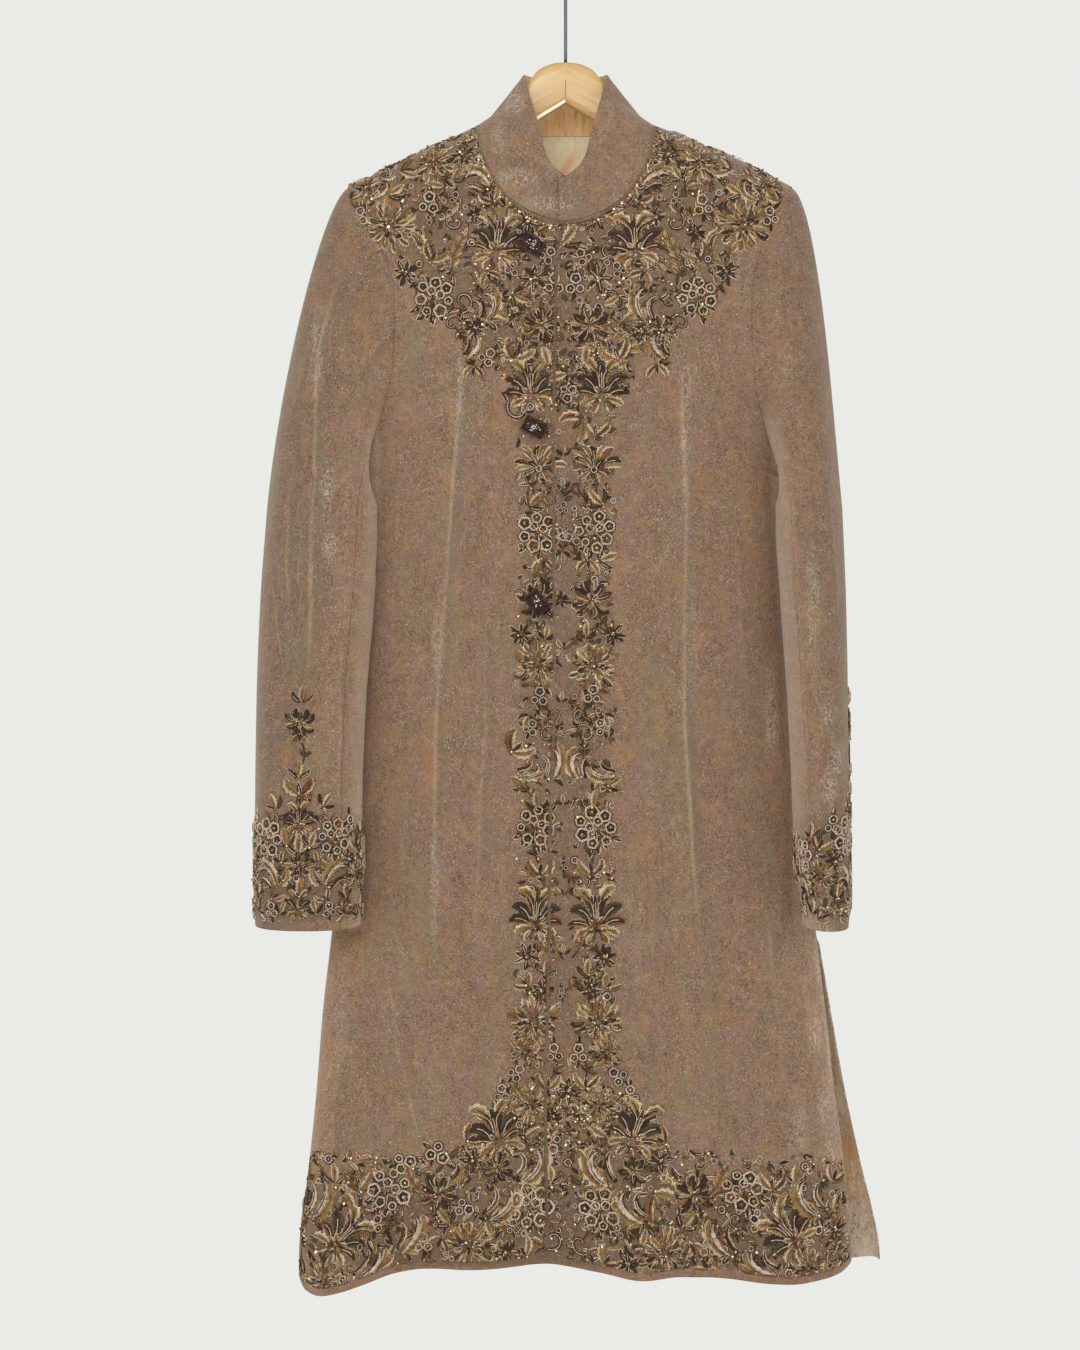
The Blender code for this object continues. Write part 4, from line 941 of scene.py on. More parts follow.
grid, normals = backGrid(finer((-182, -190, -202, -215, -228, -335), 5.0), 0.5, 30)
grid = grid - normals * (cloth["thick"] + cloth["layer"])
made = sheetPiece("satin_back_lining", grid, normals, cloth["liningThick"], [finishes["lining"]] * 2, True)
dress(made, "back_lining", flatSize(grid))
print("lining area", round(flatSize(grid), 4))

for side, name in ((-1, "left"), (1, "right")):
    for (grid, normals, light), part, flat in zip(sleevePieces(side), ("top", "under"), ((0.30, 0.72), (0.13, 0.50))):
        turned = grid.shape[0] - 1 - math.ceil(cloth["turnedEdge"] / 8.0)
        cutPiece(f"sleeve_{part}_{name}", (grid, normals), light, side > 0, turned, [(slice(14), slice(None), 0)],
                 ["velvet_front_" + name])

band = collarGrid()
made = sheetPiece("velvet_collar", band, normalsOf(band), cloth["collarThick"],
                  [finishes["velvet"], finishes["facing"]], True)
dress(made, "collar", flatSize(band))
print("collar area", round(flatSize(band), 4))


arm = dict(
    x=(0.2, 8, 16, 24, 32, 40, 50, 60, 72, 88, 110, 132, 154, 174, 184, 189),
    top=(-115, -115.6, -117.6, -121.5, -131.5, -147, -160, -172, -181, 0, 0, 0, 0, 0, -1, -5),
    bottom=(-152, -157, -162, -167, -172, -178, -185, -192, -199, -206, -214, -222, -230, -237, -241, -240),
    thick=(7, 7, 7, 7, 7, 7.2, 7.6, 8, 8.6, 9.4, 10.4, 11.4, 12.2, 12.6, 11.5, 7),
    carries=80.0, gap=0.8, square=4.0,
)
hook = dict(wire=1.5, bend=19.0, shank=(-114.6, -100.0, -80.0, -62.0, -54.0),
            neck=((0.8, -49.0), (3.2, -44.0), (6.6, -39.4)), turn=(-58.0, 250.0))


def shoulderInside(x, thick, side):
    square = float(smooth(body, "square", -205))
    share = (1 - (0.6 * thick / float(smooth(body, "front", -205))) ** square) ** (1 / square)
    heights = np.linspace(cloth["shoulderTip"] - 14, cloth["neckPoint"], 400)
    return float(np.interp(-x / share, -halfWidth(heights, side > 0), heights)) - cloth["thick"] * 1.12


def hangerArm(side, name):
    tops = [top + (shoulderInside(x, thick, side) - arm["gap"] if x > arm["carries"] else 0)
            for x, top, thick in zip(arm["x"], arm["top"], arm["thick"])]
    table = dict(arm, top=tops)
    rings = []
    for x in (arm["x"][0], 0.6, *finer(arm["x"], 4.0)[1:]):
        top, bottom, thick = (float(smooth(table, key, x, key="x")) for key in ("top", "bottom", "thick"))
        turn = 2 * math.pi * np.arange(40) / 40
        c, s = np.cos(turn), np.sin(turn)
        y = thick * np.sign(c) * np.abs(c) ** (2 / arm["square"])
        z = (top + bottom) / 2 + (top - bottom) / 2 * np.sign(s) * np.abs(s) ** (2 / arm["square"])
        rings.append(np.stack([np.full(40, side * x), y, z], axis=1))
    for at in (0, -1):  # each end is drawn in and closed
        centre = rings[at].mean(axis=0)
        ends = [centre + (rings[at] - centre) * share for share in (0.9, 0.02)]
        rings = ends[::-1] + rings if at == 0 else rings + ends
    grid = np.array(rings)
    faces = tubeFaces(*grid.shape[:2])[:, [0, 3, 2, 1] if side > 0 else [1, 2, 3, 0]]
    j = np.arange(grid.shape[1])
    lower = (j >= 25) & (j <= 27) & (side < 0) & (grid[:-1, :1, 0] < 0)  # the lower bevel, which carries the painted highlight
    materials = [finishes["wood"], finishes["bevel"]]
    made = addPiece("wood_arm_" + name, grid.reshape(-1, 3), faces, materials, lower.ravel())
    return dress(made, "hanger_arm_" + name)


def tube(path, radius, sides=12):  # a wire through points, with closed ends
    path = np.asarray(path, float)
    along = np.gradient(path, axis=0)
    along /= np.linalg.norm(along, axis=1, keepdims=True)
    aside = np.tile([0.0, 1.0, 0.0], (len(path), 1))
    up = np.cross(along, aside)
    up /= np.linalg.norm(up, axis=1, keepdims=True)
    turn = 2 * math.pi * np.arange(sides) / sides
    c, s = np.cos(turn)[None, :, None], np.sin(turn)[None, :, None]
    rings = path[:, None] + radius * (aside[:, None] * c + up[:, None] * s)
    first = path[0] + (rings[0] - path[0]) * 0.02 - along[0] * radius * 0.4
    last = path[-1] + (rings[-1] - path[-1]) * 0.02 + along[-1] * radius * 0.4
    grid = np.concatenate([first[None], rings, last[None]])
    return grid.reshape(-1, 3), tubeFaces(len(grid), sides)


for side, name in ((-1, "left"), (1, "right")):
    hangerArm(side, name)
path = [(0.0, 0.0, z) for z in finer(hook["shank"], 4.0)] + [(x, 0.0, z) for x, z in hook["neck"]]
start, sweep = (math.radians(angle) for angle in hook["turn"])
path += [(hook["bend"] * math.cos(start + sweep * k / 60), 0.0,
          hook["wire"] - hook["bend"] + hook["bend"] * math.sin(start + sweep * k / 60)) for k in range(61)]
points, faces = tube(path, hook["wire"])
dress(addPiece("steel_hook", points, faces, [finishes["steel"]]), "hook")
print("hanger made")


threads = [
    threadFinish("gold_thread", tone(74, 51, 26), tone(182, 142, 84), 0.36, 0.25),
    threadFinish("pale_gold_thread", tone(110, 88, 60), tone(250, 231, 195), 0.38, 0.05),
    threadFinish("mauve_silk", tone(112, 90, 82), tone(252, 233, 222), 0.42),
    threadFinish("dark_silk", tone(28, 18, 15), tone(82, 60, 46), 0.6, 0.0, 0.16),
    threadFinish("copper_thread", tone(66, 38, 26), tone(154, 102, 66), 0.42, 0.2, 0.3),
    threadFinish("moss_silk", tone(38, 35, 22), tone(98, 90, 58), 0.5, 0.0, 0.25),
]
gold, pale, mauve, dark, copper, moss, sequin, bead = range(8)


def beadFinish(name, size, stops, rough, pits, coat=(), gloss=0.6, metal=0.0, depth=0.0002):
    # small hard pieces, each of its own shade
    made = Finish(name, coat=coat, gloss=gloss)
    made.set("Metallic", metal)
    pick = made.noise(size, 1, 0.5)
    made.set("Base Color", made.ramp(pick, *stops) if len(stops) == 3 else made.mix(pick, *stops))
    made.set("Roughness", rough[0] + rough[1] * pick)
    return made.bump(made.noise(pits, 1), depth, 0.3)


threads += [
    beadFinish("gold_sequin", 300.0,
               ((0.35, tone(120, 88, 48)), (0.5, tone(196, 164, 108)), (0.62, tone(244, 230, 206))),
               (0.26, 0.25), 900.0, metal=1.0),
    beadFinish("glass_bead", 420.0,
               ((0.4, tone(52, 34, 28)), (0.52, tone(120, 86, 60)), (0.64, tone(222, 200, 176))),
               (0.22, 0.2), 1100.0, (0.6, 0.12), 0.7),
]


class Needlework:  # stitches, cords and beads, gathered flat and then laid on the cloth
    def __init__(self, seed):
        self.chance = np.random.default_rng(seed)
        self.points, self.faces, self.uv, self.picks, self.count = [], [], [], [], 0
        self.frame = (0.0, 0.0, 0.0, 1.0, 1.0, 1.0)

    def at(self, x, z, turn=0.0, size=1.0, flip=1.0, squash=(1.0, 1.0)):  # where the next motif goes
        self.frame = (x, z, math.radians(turn), size, flip, squash)
        return self

    def grid(self, u, v, h, along, aside, thread):
        x, z, turn, size, flip, squash = self.frame
        c, s = math.cos(turn), math.sin(turn)
        a, b = u * c - v * s, u * s + v * c
        rows, columns = u.shape
        flat = np.stack([x + flip * a * size * squash[0], z + b * size * squash[1], h], axis=2)
        self.points.append(flat.reshape(-1, 3))
        faces = gridFaces(rows, columns, self.count, flip < 0)
        self.faces.append(faces)
        self.uv.append(np.stack([along, aside], axis=2).reshape(-1, 2) * size * mm)
        self.picks.append(np.broadcast_to(thread, len(faces)))
        self.count += rows * columns

    def one(self, *kinds):  # one of several, by chance
        return kinds[int(self.chance.integers(len(kinds)))]

    def leaf(self, x, z, turn, length, width, bend=0.0, fill=gold, edge=pale, high=1.3, vein=None, blunt=1.0,
             under=dark):
        # an almond of satin stitch on padding with a toothed rim; turn 0 points up; fill may be rim and middle
        bend = bend * self.chance.uniform(0.7, 1.3) + self.chance.uniform(-0.2, 0.2)
        steps = 11 if length * self.frame[3] > 10 else 7 if length * self.frame[3] > 5.5 else 5
        t = np.linspace(0, 1, steps)[:, None]
        s = np.linspace(-1, 1, 5 if width * self.frame[3] > 3.0 else 4)[None, :]
        heading = math.radians(turn)
        curve = heading - bend * (t - 0.4) * (0.5 + t)
        step = length / (steps - 1)
        cx = np.concatenate([[0], np.cumsum(-np.sin(curve[:-1, 0]) * step)])[:, None] + x
        cz = np.concatenate([[0], np.cumsum(np.cos(curve[:-1, 0]) * step)])[:, None] + z
        teeth = np.where((np.arange(steps) % 2 == 0)[:, None], 0.84, 1.14) if steps > 7 else 1.0
        half = width / 2 * np.sin(math.pi * (0.05 + 0.91 * t) ** (0.85 * blunt)) ** 0.75 * teeth + 0.05
        u, v = cx + s * half * np.cos(curve), cz + s * half * np.sin(curve)
        body = (1 - np.abs(s) ** 2.2) * np.sin(math.pi * (0.1 + 0.8 * t)) ** 0.5
        h = 0.2 + high * (body - 0.4 * np.exp(-((s / 0.3) ** 2)) * (t < 0.95))
        rim, middle = fill if isinstance(fill, tuple) else (fill, fill)
        if fill == dark and width * self.frame[3] > 3.6:
            rim = self.one(moss, copper, gold, dark)
        lit = int(self.chance.integers(2))
        across = [rim, middle, middle, rim if self.chance.uniform() < 0.45 else middle][:s.size - 1]
        stitched = np.tile(across if lit else across[::-1], (steps - 1, 1))
        stitched[:2] = middle if middle in (dark, copper) else stitched[:2]
        self.grid(u, v, h, t * length + np.abs(s) * width * 0.45, s * width / 2 + 0 * t, stitched.ravel())
        # a low dark under-leaf a little wider than the petal: painted shade round its edge
        if under is not None and fill != dark:
            few = slice(None, None, 2)
            wide, low = half[few] * 1.05 + 0.7, np.array([[-1.0, 0.0, 1.0]])
            self.grid(cx[few] + low * wide * np.cos(curve[few]), cz[few] + low * wide * np.sin(curve[few]),
                      0.3 - 0.22 * np.abs(low) + 0 * wide, t[few] * length + 0 * low, low * wide, under)
        if isinstance(edge, tuple):
            edge = self.one(*edge)
        if edge is not None:  # a fine cord up one side and over the tip
            near, far = (0, -1) if lit else (-1, 0)
            sides = np.stack([u, v], axis=2)
            rim = np.concatenate([sides[1:, near], sides[-3:, far][::-1]])
            self.cord(rim, (0.42 if middle == dark else 0.3) + 0.012 * width, edge, 0.4 + 0.3 * high)
        if vein is None and width * self.frame[3] > 3.6 and self.chance.uniform() < (0.85 if middle == dark else 0.5):
            vein = dark if middle in (gold, pale, mauve) else self.one(pale, mauve, gold)
        if vein is not None and steps > 5:
            last = steps - 2
            self.cord(np.stack([cx[1:last:2, 0], cz[1:last:2, 0]], axis=1), 0.36, vein, 0.35 + high)

    def cord(self, path, radius, thread, high=0.8):  # a couched cord: a low ridge along a path
        path = np.asarray(path, float)
        along = np.gradient(path, axis=0)
        along /= np.maximum(np.linalg.norm(along, axis=1, keepdims=True), 1e-9)
        aside = np.stack([-along[:, 1], along[:, 0]], axis=1) * radius
        rows, count = np.stack([path - aside, path, path + aside], axis=1), (len(path), 1)
        low = max(0.0, high - radius * 1.2)
        self.grid(rows[:, :, 0], rows[:, :, 1], np.tile([low, high + radius * 0.5, low], count),
                  lengths(path)[:, None] + np.array([[0.0, 0.5, 1.0]]), np.tile([-radius, 0, radius], count), thread)

    def ring(self, x, z, radius, thread=pale, high=1.5, core=bead):  # a wavy ring of satin stitch
        turn = np.linspace(0, 2 * math.pi, 16 if radius > 3.2 else 10)
        waves = 1 + (0.1 if radius > 3.2 else 0.03) * np.cos(5 * turn + self.chance.uniform(0, 6))
        circle = np.stack([np.cos(turn) * waves, np.sin(turn) * waves], axis=1)
        circle[-1] = circle[0]
        if radius > 2.6:
            # a wide, low dark cord round the ring: painted shade about it
            self.cord((x, z) + circle * (radius + 0.3), 1.3, dark, high - 1.2)
            self.cord((x, z) + circle * radius * 0.6, 0.14 * radius, self.one(dark, dark, copper), high - 0.4)
        self.cord((x, z) + circle * radius, 0.2 * radius, thread, high)
        self.dome(x, z, radius * 0.26, core, high * 0.5)

    def dome(self, x, z, radius, thread=bead, high=None, sides=6):  # a bead, or a knot
        turn = np.linspace(0, 2 * math.pi, sides + 1)[None, :]
        lift = np.radians([4.0, 50.0, 100.0])[:, None]
        high = radius * 0.9 if high is None else high
        u, v = x + radius * np.sin(lift) * np.cos(turn), z + radius * np.sin(lift) * np.sin(turn)
        h = np.maximum(0.0, high * (1.0 + np.cos(lift)) - 0.1) + 0 * turn
        self.grid(u, v, h + 0.35, u, v, thread)

    def spangle(self, x, z, radius=1.3):  # a flat sequin, tilted a little
        turn = np.linspace(0, 2 * math.pi, 7)[None, :]
        out = np.array([0.08, 1.0])[:, None]
        tilt = self.chance.uniform(-0.45, 0.45, 2)
        u, v = radius * out * np.cos(turn), radius * out * np.sin(turn)
        h = 1.5 + 0.35 * (1 - out) + tilt[0] * u + tilt[1] * v
        self.grid(x + u, z + v, np.maximum(h, 0.3), u, v, sequin)

    def seeds(self, x, z, reach, count, kinds=(bead, gold, sequin, bead, bead)):
        for k in range(count):
            turn, away = self.chance.uniform(0, 6.28), reach * math.sqrt(self.chance.uniform(0, 1))
            across, up, kind = x + away * math.cos(turn), z + away * math.sin(turn), kinds[k % len(kinds)]
            if kind == sequin:
                self.spangle(across, up, self.chance.uniform(0.8, 1.2))
            else:
                self.dome(across, up, self.chance.uniform(0.6, 0.95), kind)

    def spray(self, x, z, radius, petals, start, sweep, width, fill, edge, inner=0.3, bend=0.0, vein=None, high=1.3,
              under=dark, blunt=1.0):
        # petals round a point, from inner to the full radius
        for k in range(petals):
            share = k / max(1, petals - (sweep < 360))
            turn = start + sweep * share + self.chance.uniform(-8, 8)
            long = radius * self.chance.uniform(0.8, 1.1)
            a = math.radians(turn)
            self.leaf(x - math.sin(a) * long * inner, z + math.cos(a) * long * inner, turn, long * (1 - inner),
                      width * self.chance.uniform(0.8, 1.2), bend * (1 if share < 0.5 else -1), fill[k % len(fill)],
                      edge, high, vein, blunt, under)

    def pairs(self, *leaves):  # leaves on both sides of the middle; a turn leans them outwards
        for flip in (-1, 1):
            for x, z, turn, length, width, bend, *rest in leaves:
                self.leaf(flip * x, z, -flip * turn, length, width, flip * bend, *rest)

    # motifs, each drawn about 20 mm in radius with its foot down

    def chrysanthemum(self):
        fills = [(pale, gold), (gold, copper), (pale, gold), (mauve, gold), (gold, dark), (pale, moss)]
        self.spray(0, 0, 21, 16, 0, 360, 5.6, fills, (pale, gold, None), 0.52, 0.9, None, 1.2, moss, 1.7)
        self.spray(0, 0, 15, 11, 9, 360, 5.2, fills[1:], (pale, mauve, None), 0.44, 0.9, None, 1.9, None, 1.6)
        self.spray(0, 0, 9.5, 7, 18, 360, 4.2, [(gold, copper), (mauve, dark)], (pale, None), 0.24, 0.6, None, 2.5,
                   None, 1.4)
        self.seeds(0, 0, 4.2, 6)

    def ringCluster(self):
        self.spray(0, 0, 16, 9, 0, 360, 6.4, [dark, moss], None, 0.1, 0.4, high=0.9)
        for k in range(7):
            turn = math.radians(360 * k / 7 + 12)
            away = 12.8 + self.chance.uniform(-1.2, 1.2)
            self.ring(away * math.sin(turn), away * math.cos(turn), 4.2 + self.chance.uniform(-1.1, 1.1),
                      mauve if k % 3 else pale)
        self.ring(4.0, 4.4, 3.4, mauve)
        self.ring(-4.2, 3.0, 3.3, mauve)
        self.spray(0, -4.5, 10, 5, -70, 140, 4.0, [(gold, copper), (pale, dark)], (pale, None), 0.15, blunt=1.5)
        self.spray(0, 0, 23, 5, 140, 80, 4.4, [(gold, dark), (mauve, dark)], (mauve, pale), 0.66, 0.6)
        self.seeds(0, -2, 6, 7)

    def lotus(self):
        self.pairs((3, 6, 34, 19, 9.4, 1.9, (pale, gold), (pale, gold), 1.7, dark, 1.7),
                   (2, -4, 14, 22, 9.0, 1.7, dark, (mauve, None), 1.7, pale, 1.5),
                   (4, -6, 44, 20, 8.4, 1.5, (moss, dark), None, 1.5, mauve, 1.4),
                   (5, -8, 78, 17, 7.6, 1.4, dark, (gold, None), 1.4, pale, 1.4),
                   (4, -11, 108, 13, 6.4, 1.0, (pale, gold), pale, 1.7, copper, 1.8),
                   (2, -13, 146, 10, 5.8, 0.8, (pale, copper), (pale, mauve), 1.7, None, 1.8))
        self.leaf(0, -5, 0, 20, 6.4, 0.2, (mauve, dark), None, 2.0, pale, 1.2)
        self.spray(0, -8, 9, 5, -100, 200, 3.6, [(pale, gold), (mauve, copper)], (pale, None), 0.2, 0.6, None, 2.5,
                   dark, 1.5)
        self.seeds(0, -8, 6, 6)

    def fanLotus(self):
        self.spray(0, -10, 27, 9, -80, 160, 6.8, [(pale, gold), (gold, dark), (mauve, copper)], (pale, mauve, None),
                   0.3, 1.2, None, 1.6, dark, 1.8)
        self.spray(0, -11, 16, 4, -40, 80, 6.0, [dark, (mauve, copper)], (mauve, None), 0.1, 0.8, None, 2.3, dark, 1.5)
        self.pairs((3, -9, 112, 15, 5.4, 1.5, dark, (mauve, pale)),
                   (2, -12, 150, 12, 5.0, 1.1, (pale, gold), (pale, None), 1.6, None, 1.7))
        self.ring(0, -10, 2.8, mauve, 2.2)
        self.seeds(0, -9, 5, 5)

    def darkFlower(self):
        self.spray(0, 0, 20, 8, 10, 360, 8.4, [dark, (gold, dark), dark, (copper, dark), (moss, dark)],
                   (mauve, gold, None), 0.14, 1.3, None, 1.6, dark, 1.5)
        self.spray(0, 0, 17, 7, 34, 360, 3.4, [(mauve, dark), (pale, gold), dark], (pale, None), 0.36, 1.3, None, 2.3,
                   None, 1.3)
        self.spray(0, 0, 8, 5, 30, 360, 4.0, [(pale, gold), (mauve, copper)], (pale, None), 0.1, 0.6, None, 2.7, dark,
                   1.6)
        self.seeds(0, 0, 5.5, 8)

    def starFlower(self):
        self.spray(0, 0, 13, 8, 0, 360, 4.4, [dark, (moss, dark), (pale, dark)], (pale, mauve, None), 0.18, 0.3)
        self.dome(0, 0, 1.9, bead, 1.7)
        self.seeds(0, 0, 3.8, 5)

    def crescent(self):  # a curled leaf with a double cord inside it
        self.leaf(-4, -17, 22, 40, 10.5, 1.9, (pale, gold), pale, 1.7, copper)
        self.leaf(-2.4, -15, 20, 33, 5.0, 1.9, (pale, mauve), dark, 2.5)
        self.leaf(4.6, -13, 10, 25, 4.0, 1.8, (mauve, dark), pale, 1.9)
        self.spray(-2, -14, 13, 4, 20, 110, 4.4, [(pale, gold), dark], (pale, None), 0.1, 0.6, None, 1.6, dark, 1.5)
        self.seeds(-1, -15, 3.4, 5)

    def fern(self):
        t = np.linspace(0, 1, 12)
        spine = np.stack([6 * np.sin(2.4 * t) - 3, -20 + 40 * t], axis=1)
        for k in range(1, 11):
            for flip in (-1, 1):
                self.leaf(spine[k, 0], spine[k, 1], -flip * (26 + k), 10.0 - 0.5 * abs(k - 4), 3.6, flip * 0.9,
                          ((pale, gold), (gold, copper), (mauve, gold))[k % 3], (None, pale)[k % 2], 1.5, None, 1.3,
                          moss)
        self.cord(spine, 0.6, copper, 2.0)
        self.leaf(spine[-1, 0], spine[-1, 1], -6, 9, 3.4, 0, (pale, gold), pale)
        self.leaf(spine[0, 0], spine[0, 1] + 3, 150, 12, 4.4, 0.8, dark, mauve)

    def leafPair(self):
        self.leaf(0, -8, 44, 21, 8.6, 1.2, (pale, gold), (pale, mauve), 1.6, copper, 1.3)
        self.leaf(0, -8, -44, 21, 8.6, -1.2, (pale, copper), (pale, gold), 1.6, dark, 1.3)
        self.leaf(0, -9, 2, 13, 4.0, 0, dark, (mauve, None))
        self.seeds(0, -8, 2.5, 3)

    def bud(self):
        self.leaf(-1.8, -8, 50, 15, 5.0, 1.1, (moss, dark), (mauve, None))
        self.leaf(1.8, -8, -50, 15, 5.0, -1.1, dark, (pale, None))
        self.leaf(0, -7, 0, 18, 9.0, 0.4, (pale, gold), (pale, mauve), 1.9, copper, 1.3)
        self.seeds(0, -8, 2.5, 3)

    def rings(self):
        self.ring(0, 5, 4.4, mauve)
        self.ring(-4.2, -4.4, 3.8, pale)
        self.ring(4.6, -4.0, 3.2, mauve)
        self.leaf(0, 9, 0, 9, 3.6, 0, (pale, dark), (mauve, None))
        self.leaf(0, -8, 170, 8, 3.4, 0.4, dark, (pale, None))

    def curl(self):
        turn = np.linspace(0.4, 5.4, 14)
        reach = 1.8 + 1.6 * turn
        path = np.stack([reach * np.cos(turn), reach * np.sin(turn)], axis=1)
        self.cord(path, 1.7, dark, 0.4)
        self.cord(path, 0.8, self.one(pale, gold, mauve), 1.2)
        self.dome(0.6, 0.6, 1.6, bead)
        self.leaf(8, -6, -60, 12, 4.8, 0.9, (pale, copper), (pale, None), blunt=1.4)
        self.leaf(6, -8, -120, 10, 3.8, 0.9, dark, (mauve, None))

    def paisley(self):
        self.leaf(-2, -13, 12, 28, 14.0, 1.3, (pale, gold), pale, 1.5, None, 0.75)
        self.leaf(-1, -9, 10, 19, 7.4, 1.2, (mauve, dark), mauve, 2.3, None, 0.8)
        self.seeds(-1, -4, 3.4, 6)

    def gathered(self, kept=None):  # flat points, faces, maps and threads
        flat, faces = np.concatenate(self.points), np.concatenate(self.faces)
        kept = np.ones(len(faces), bool) if kept is None else kept(*flat[faces].mean(axis=1)[:, :2].T)
        return flat, faces[kept], np.concatenate(self.uv), np.concatenate(self.picks)[kept]


def layOn(name, parts, spot):  # flat needlework on to the cloth, through a function of across, height and rise
    counts = np.cumsum([0] + [len(part[0]) for part in parts[:-1]])
    flat = np.concatenate([part[0] for part in parts])
    faces = np.concatenate([part[1] + count for part, count in zip(parts, counts)])
    used, faces = np.unique(faces, return_inverse=True)
    faces, flat = faces.reshape(-1, 4), flat[used]
    maps, picks = (np.concatenate([part[k] for part in parts]) for k in (2, 3))
    piece = addPiece(name, spot(*flat.T), faces, threads, picks, maps[used], uvName="Stitch")
    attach(piece, "root")
    print(name, len(faces) * 2, "triangles")


def ridge(x):  # the height of the shoulder line
    heights = np.linspace(cloth["shoulderTip"] - 20, cloth["neckPoint"] - 0.5, 120)
    left, right = (np.interp(-np.abs(x), -halfWidth(heights, which), heights) for which in (False, True))
    return np.where(x >= 0, right, left)


def frontSpot(side):  # a front's surface, turned over the shoulder line a little and kept off the neck
    point, base, start, foot = (cloth[key] for key in ("neckPoint", "neckBase", "hemStart", "hem"))

    def found(x, z, rise):
        edge = smooth(rightEdge, "x", np.clip(z, foot, base)) + (1.2 if side > 0 else -1.6)
        x = np.where(z > base, x, np.maximum(x, edge) if side > 0 else np.minimum(x, edge))
        away = np.sqrt((x / cloth["neckWidth"]) ** 2 + ((z - point) / (point - base)) ** 2)
        push = np.where((away < 1.03) & (z < point), 1.03 / np.maximum(away, 0.05), 1.0)
        x, z = x * push, point + (z - point) * push
        top = ridge(x) - 0.6
        # what is drawn near the shoulder line turns over it, so the heights there draw together
        near = 1 - ramp(np.abs(x), 185, 205)
        below = top - z + 12.0 * near
        behind = (below < 0) & (np.abs(x) < 205)
        turned = below ** 2 / (np.abs(below) + 24.0)
        share = near * (1 - ramp(top - z, 12, 70))
        z = np.where(behind, top - turned, np.minimum(top, top - share * turned - (1 - share) * (top - z)))
        # the heights follow the hem, and nothing is sewn on the strip turned up
        hem = smooth(hemFront, "z", x, key="x")
        z = z + (hem - foot) * ramp(-z, 1090, 1188)
        k = (hem - foot) / (start - foot)
        row = np.where(z < start, (z - start * k) / (1 - k), z)
        low = foot + cloth["turnedEdge"] + 1.0
        z = np.where(row < low, z + (low - row), z)
        row = np.maximum(row, low)
        limit = halfWidth(row, side > 0) * np.where(row < cloth["underarm"], 0.985, 1.0)
        x = side * np.minimum(side * x, limit) if side > 0 else np.maximum(x, -limit)
        step = 0.8  # the cloth's slope is read this far along
        y, besideY, belowY = (np.where(behind, bodyY(a, b, True), bodyY(a, b))
                              for a, b in ((x, row), (x + step, row), (x, row - step)))
        normal = np.stack([(besideY - y) / step, -np.ones_like(y), -(belowY - y) / step], axis=1)
        normal *= np.where(behind, -1.0, 1.0)[:, None]
        normal /= np.linalg.norm(normal, axis=1, keepdims=True)
        if side < 0:
            y = y + covered(x, row) * (cloth["thick"] + cloth["layer"])
        else:
            y = y + np.where(behind, 0.0, settled(x, row))
        return np.stack([x, y, z], axis=1) + normal * rise[:, None]
    return found


# motif, across from the centre, height, size, turn; drawn on both fronts
yokeMotifs = (
    ("chrysanthemum", 157, -270, 1.28, 20), ("ringCluster", 116, -334, 1.05, 10), ("lotus", 61, -284, 1.2, 8),
    ("fern", 95, -299, 0.92, 28), ("crescent", 74, -343, 1.0, -8), ("crescent", 80, -236, 0.9, -80),
    ("rings", 120, -251, 1.05, 0), ("bud", 112, -236, 0.85, -74), ("bud", 50, -247, 0.9, 20),
    ("starFlower", 141, -311, 1.0, 12), ("leafPair", 116, -296, 0.85, 30), ("bud", 54, -352, 0.85, -60),
    ("crescent", 86, -378, 0.72, 14), ("leafPair", 80, -400, 0.7, 180), ("starFlower", 28, -319, 1.1, 0),
    ("rings", 9, -322, 0.95, 0), ("darkFlower", 22, -359, 1.0, 0), ("leafPair", 43, -383, 1.0, 24),
    ("bud", 17, -388, 0.9, -10), ("lotus", 32, -412, 1.12, 0), ("rings", 15, -298, 0.8, 40),
    ("curl", 37, -292, 0.9, 30), ("bud", 40, -336, 0.8, 120), ("curl", 96, -268, 0.9, 100),
    ("paisley", 132, -284, 0.7, -40), ("leafPair", 66, -318, 0.75, 150), ("chrysanthemum", 118, -214, 1.0, 0),
    ("bud", 150, -240, 0.8, 60), ("crescent", 168, -238, 0.75, 40), ("rings", 182, -262, 0.9, 0),
    ("starFlower", 92, -208, 0.9, 0), ("leafPair", 140, -218, 0.9, 70), ("chrysanthemum", 176, -232, 0.85, 0),
    ("bud", 98, -226, 0.8, 30), ("curl", 66, -262, 0.8, 0), ("rings", 74, -216, 0.8, 60), ("bud", 88, -190, 0.8, 0),
    ("leafPair", 110, -196, 0.7, 40), ("starFlower", 58, -334, 0.8, 0), ("curl", 100, -358, 0.8, 200),
    ("rings", 47, -310, 0.7, 20), ("leafPair", 66, -244, 0.75, -30), ("bud", 82, -224, 0.7, 20),
    ("starFlower", 80, -262, 0.7, 0), ("rings", 98, -246, 0.6, 0), ("bud", 186, -246, 0.8, 80),
    ("leafPair", 160, -222, 0.7, 60),
)
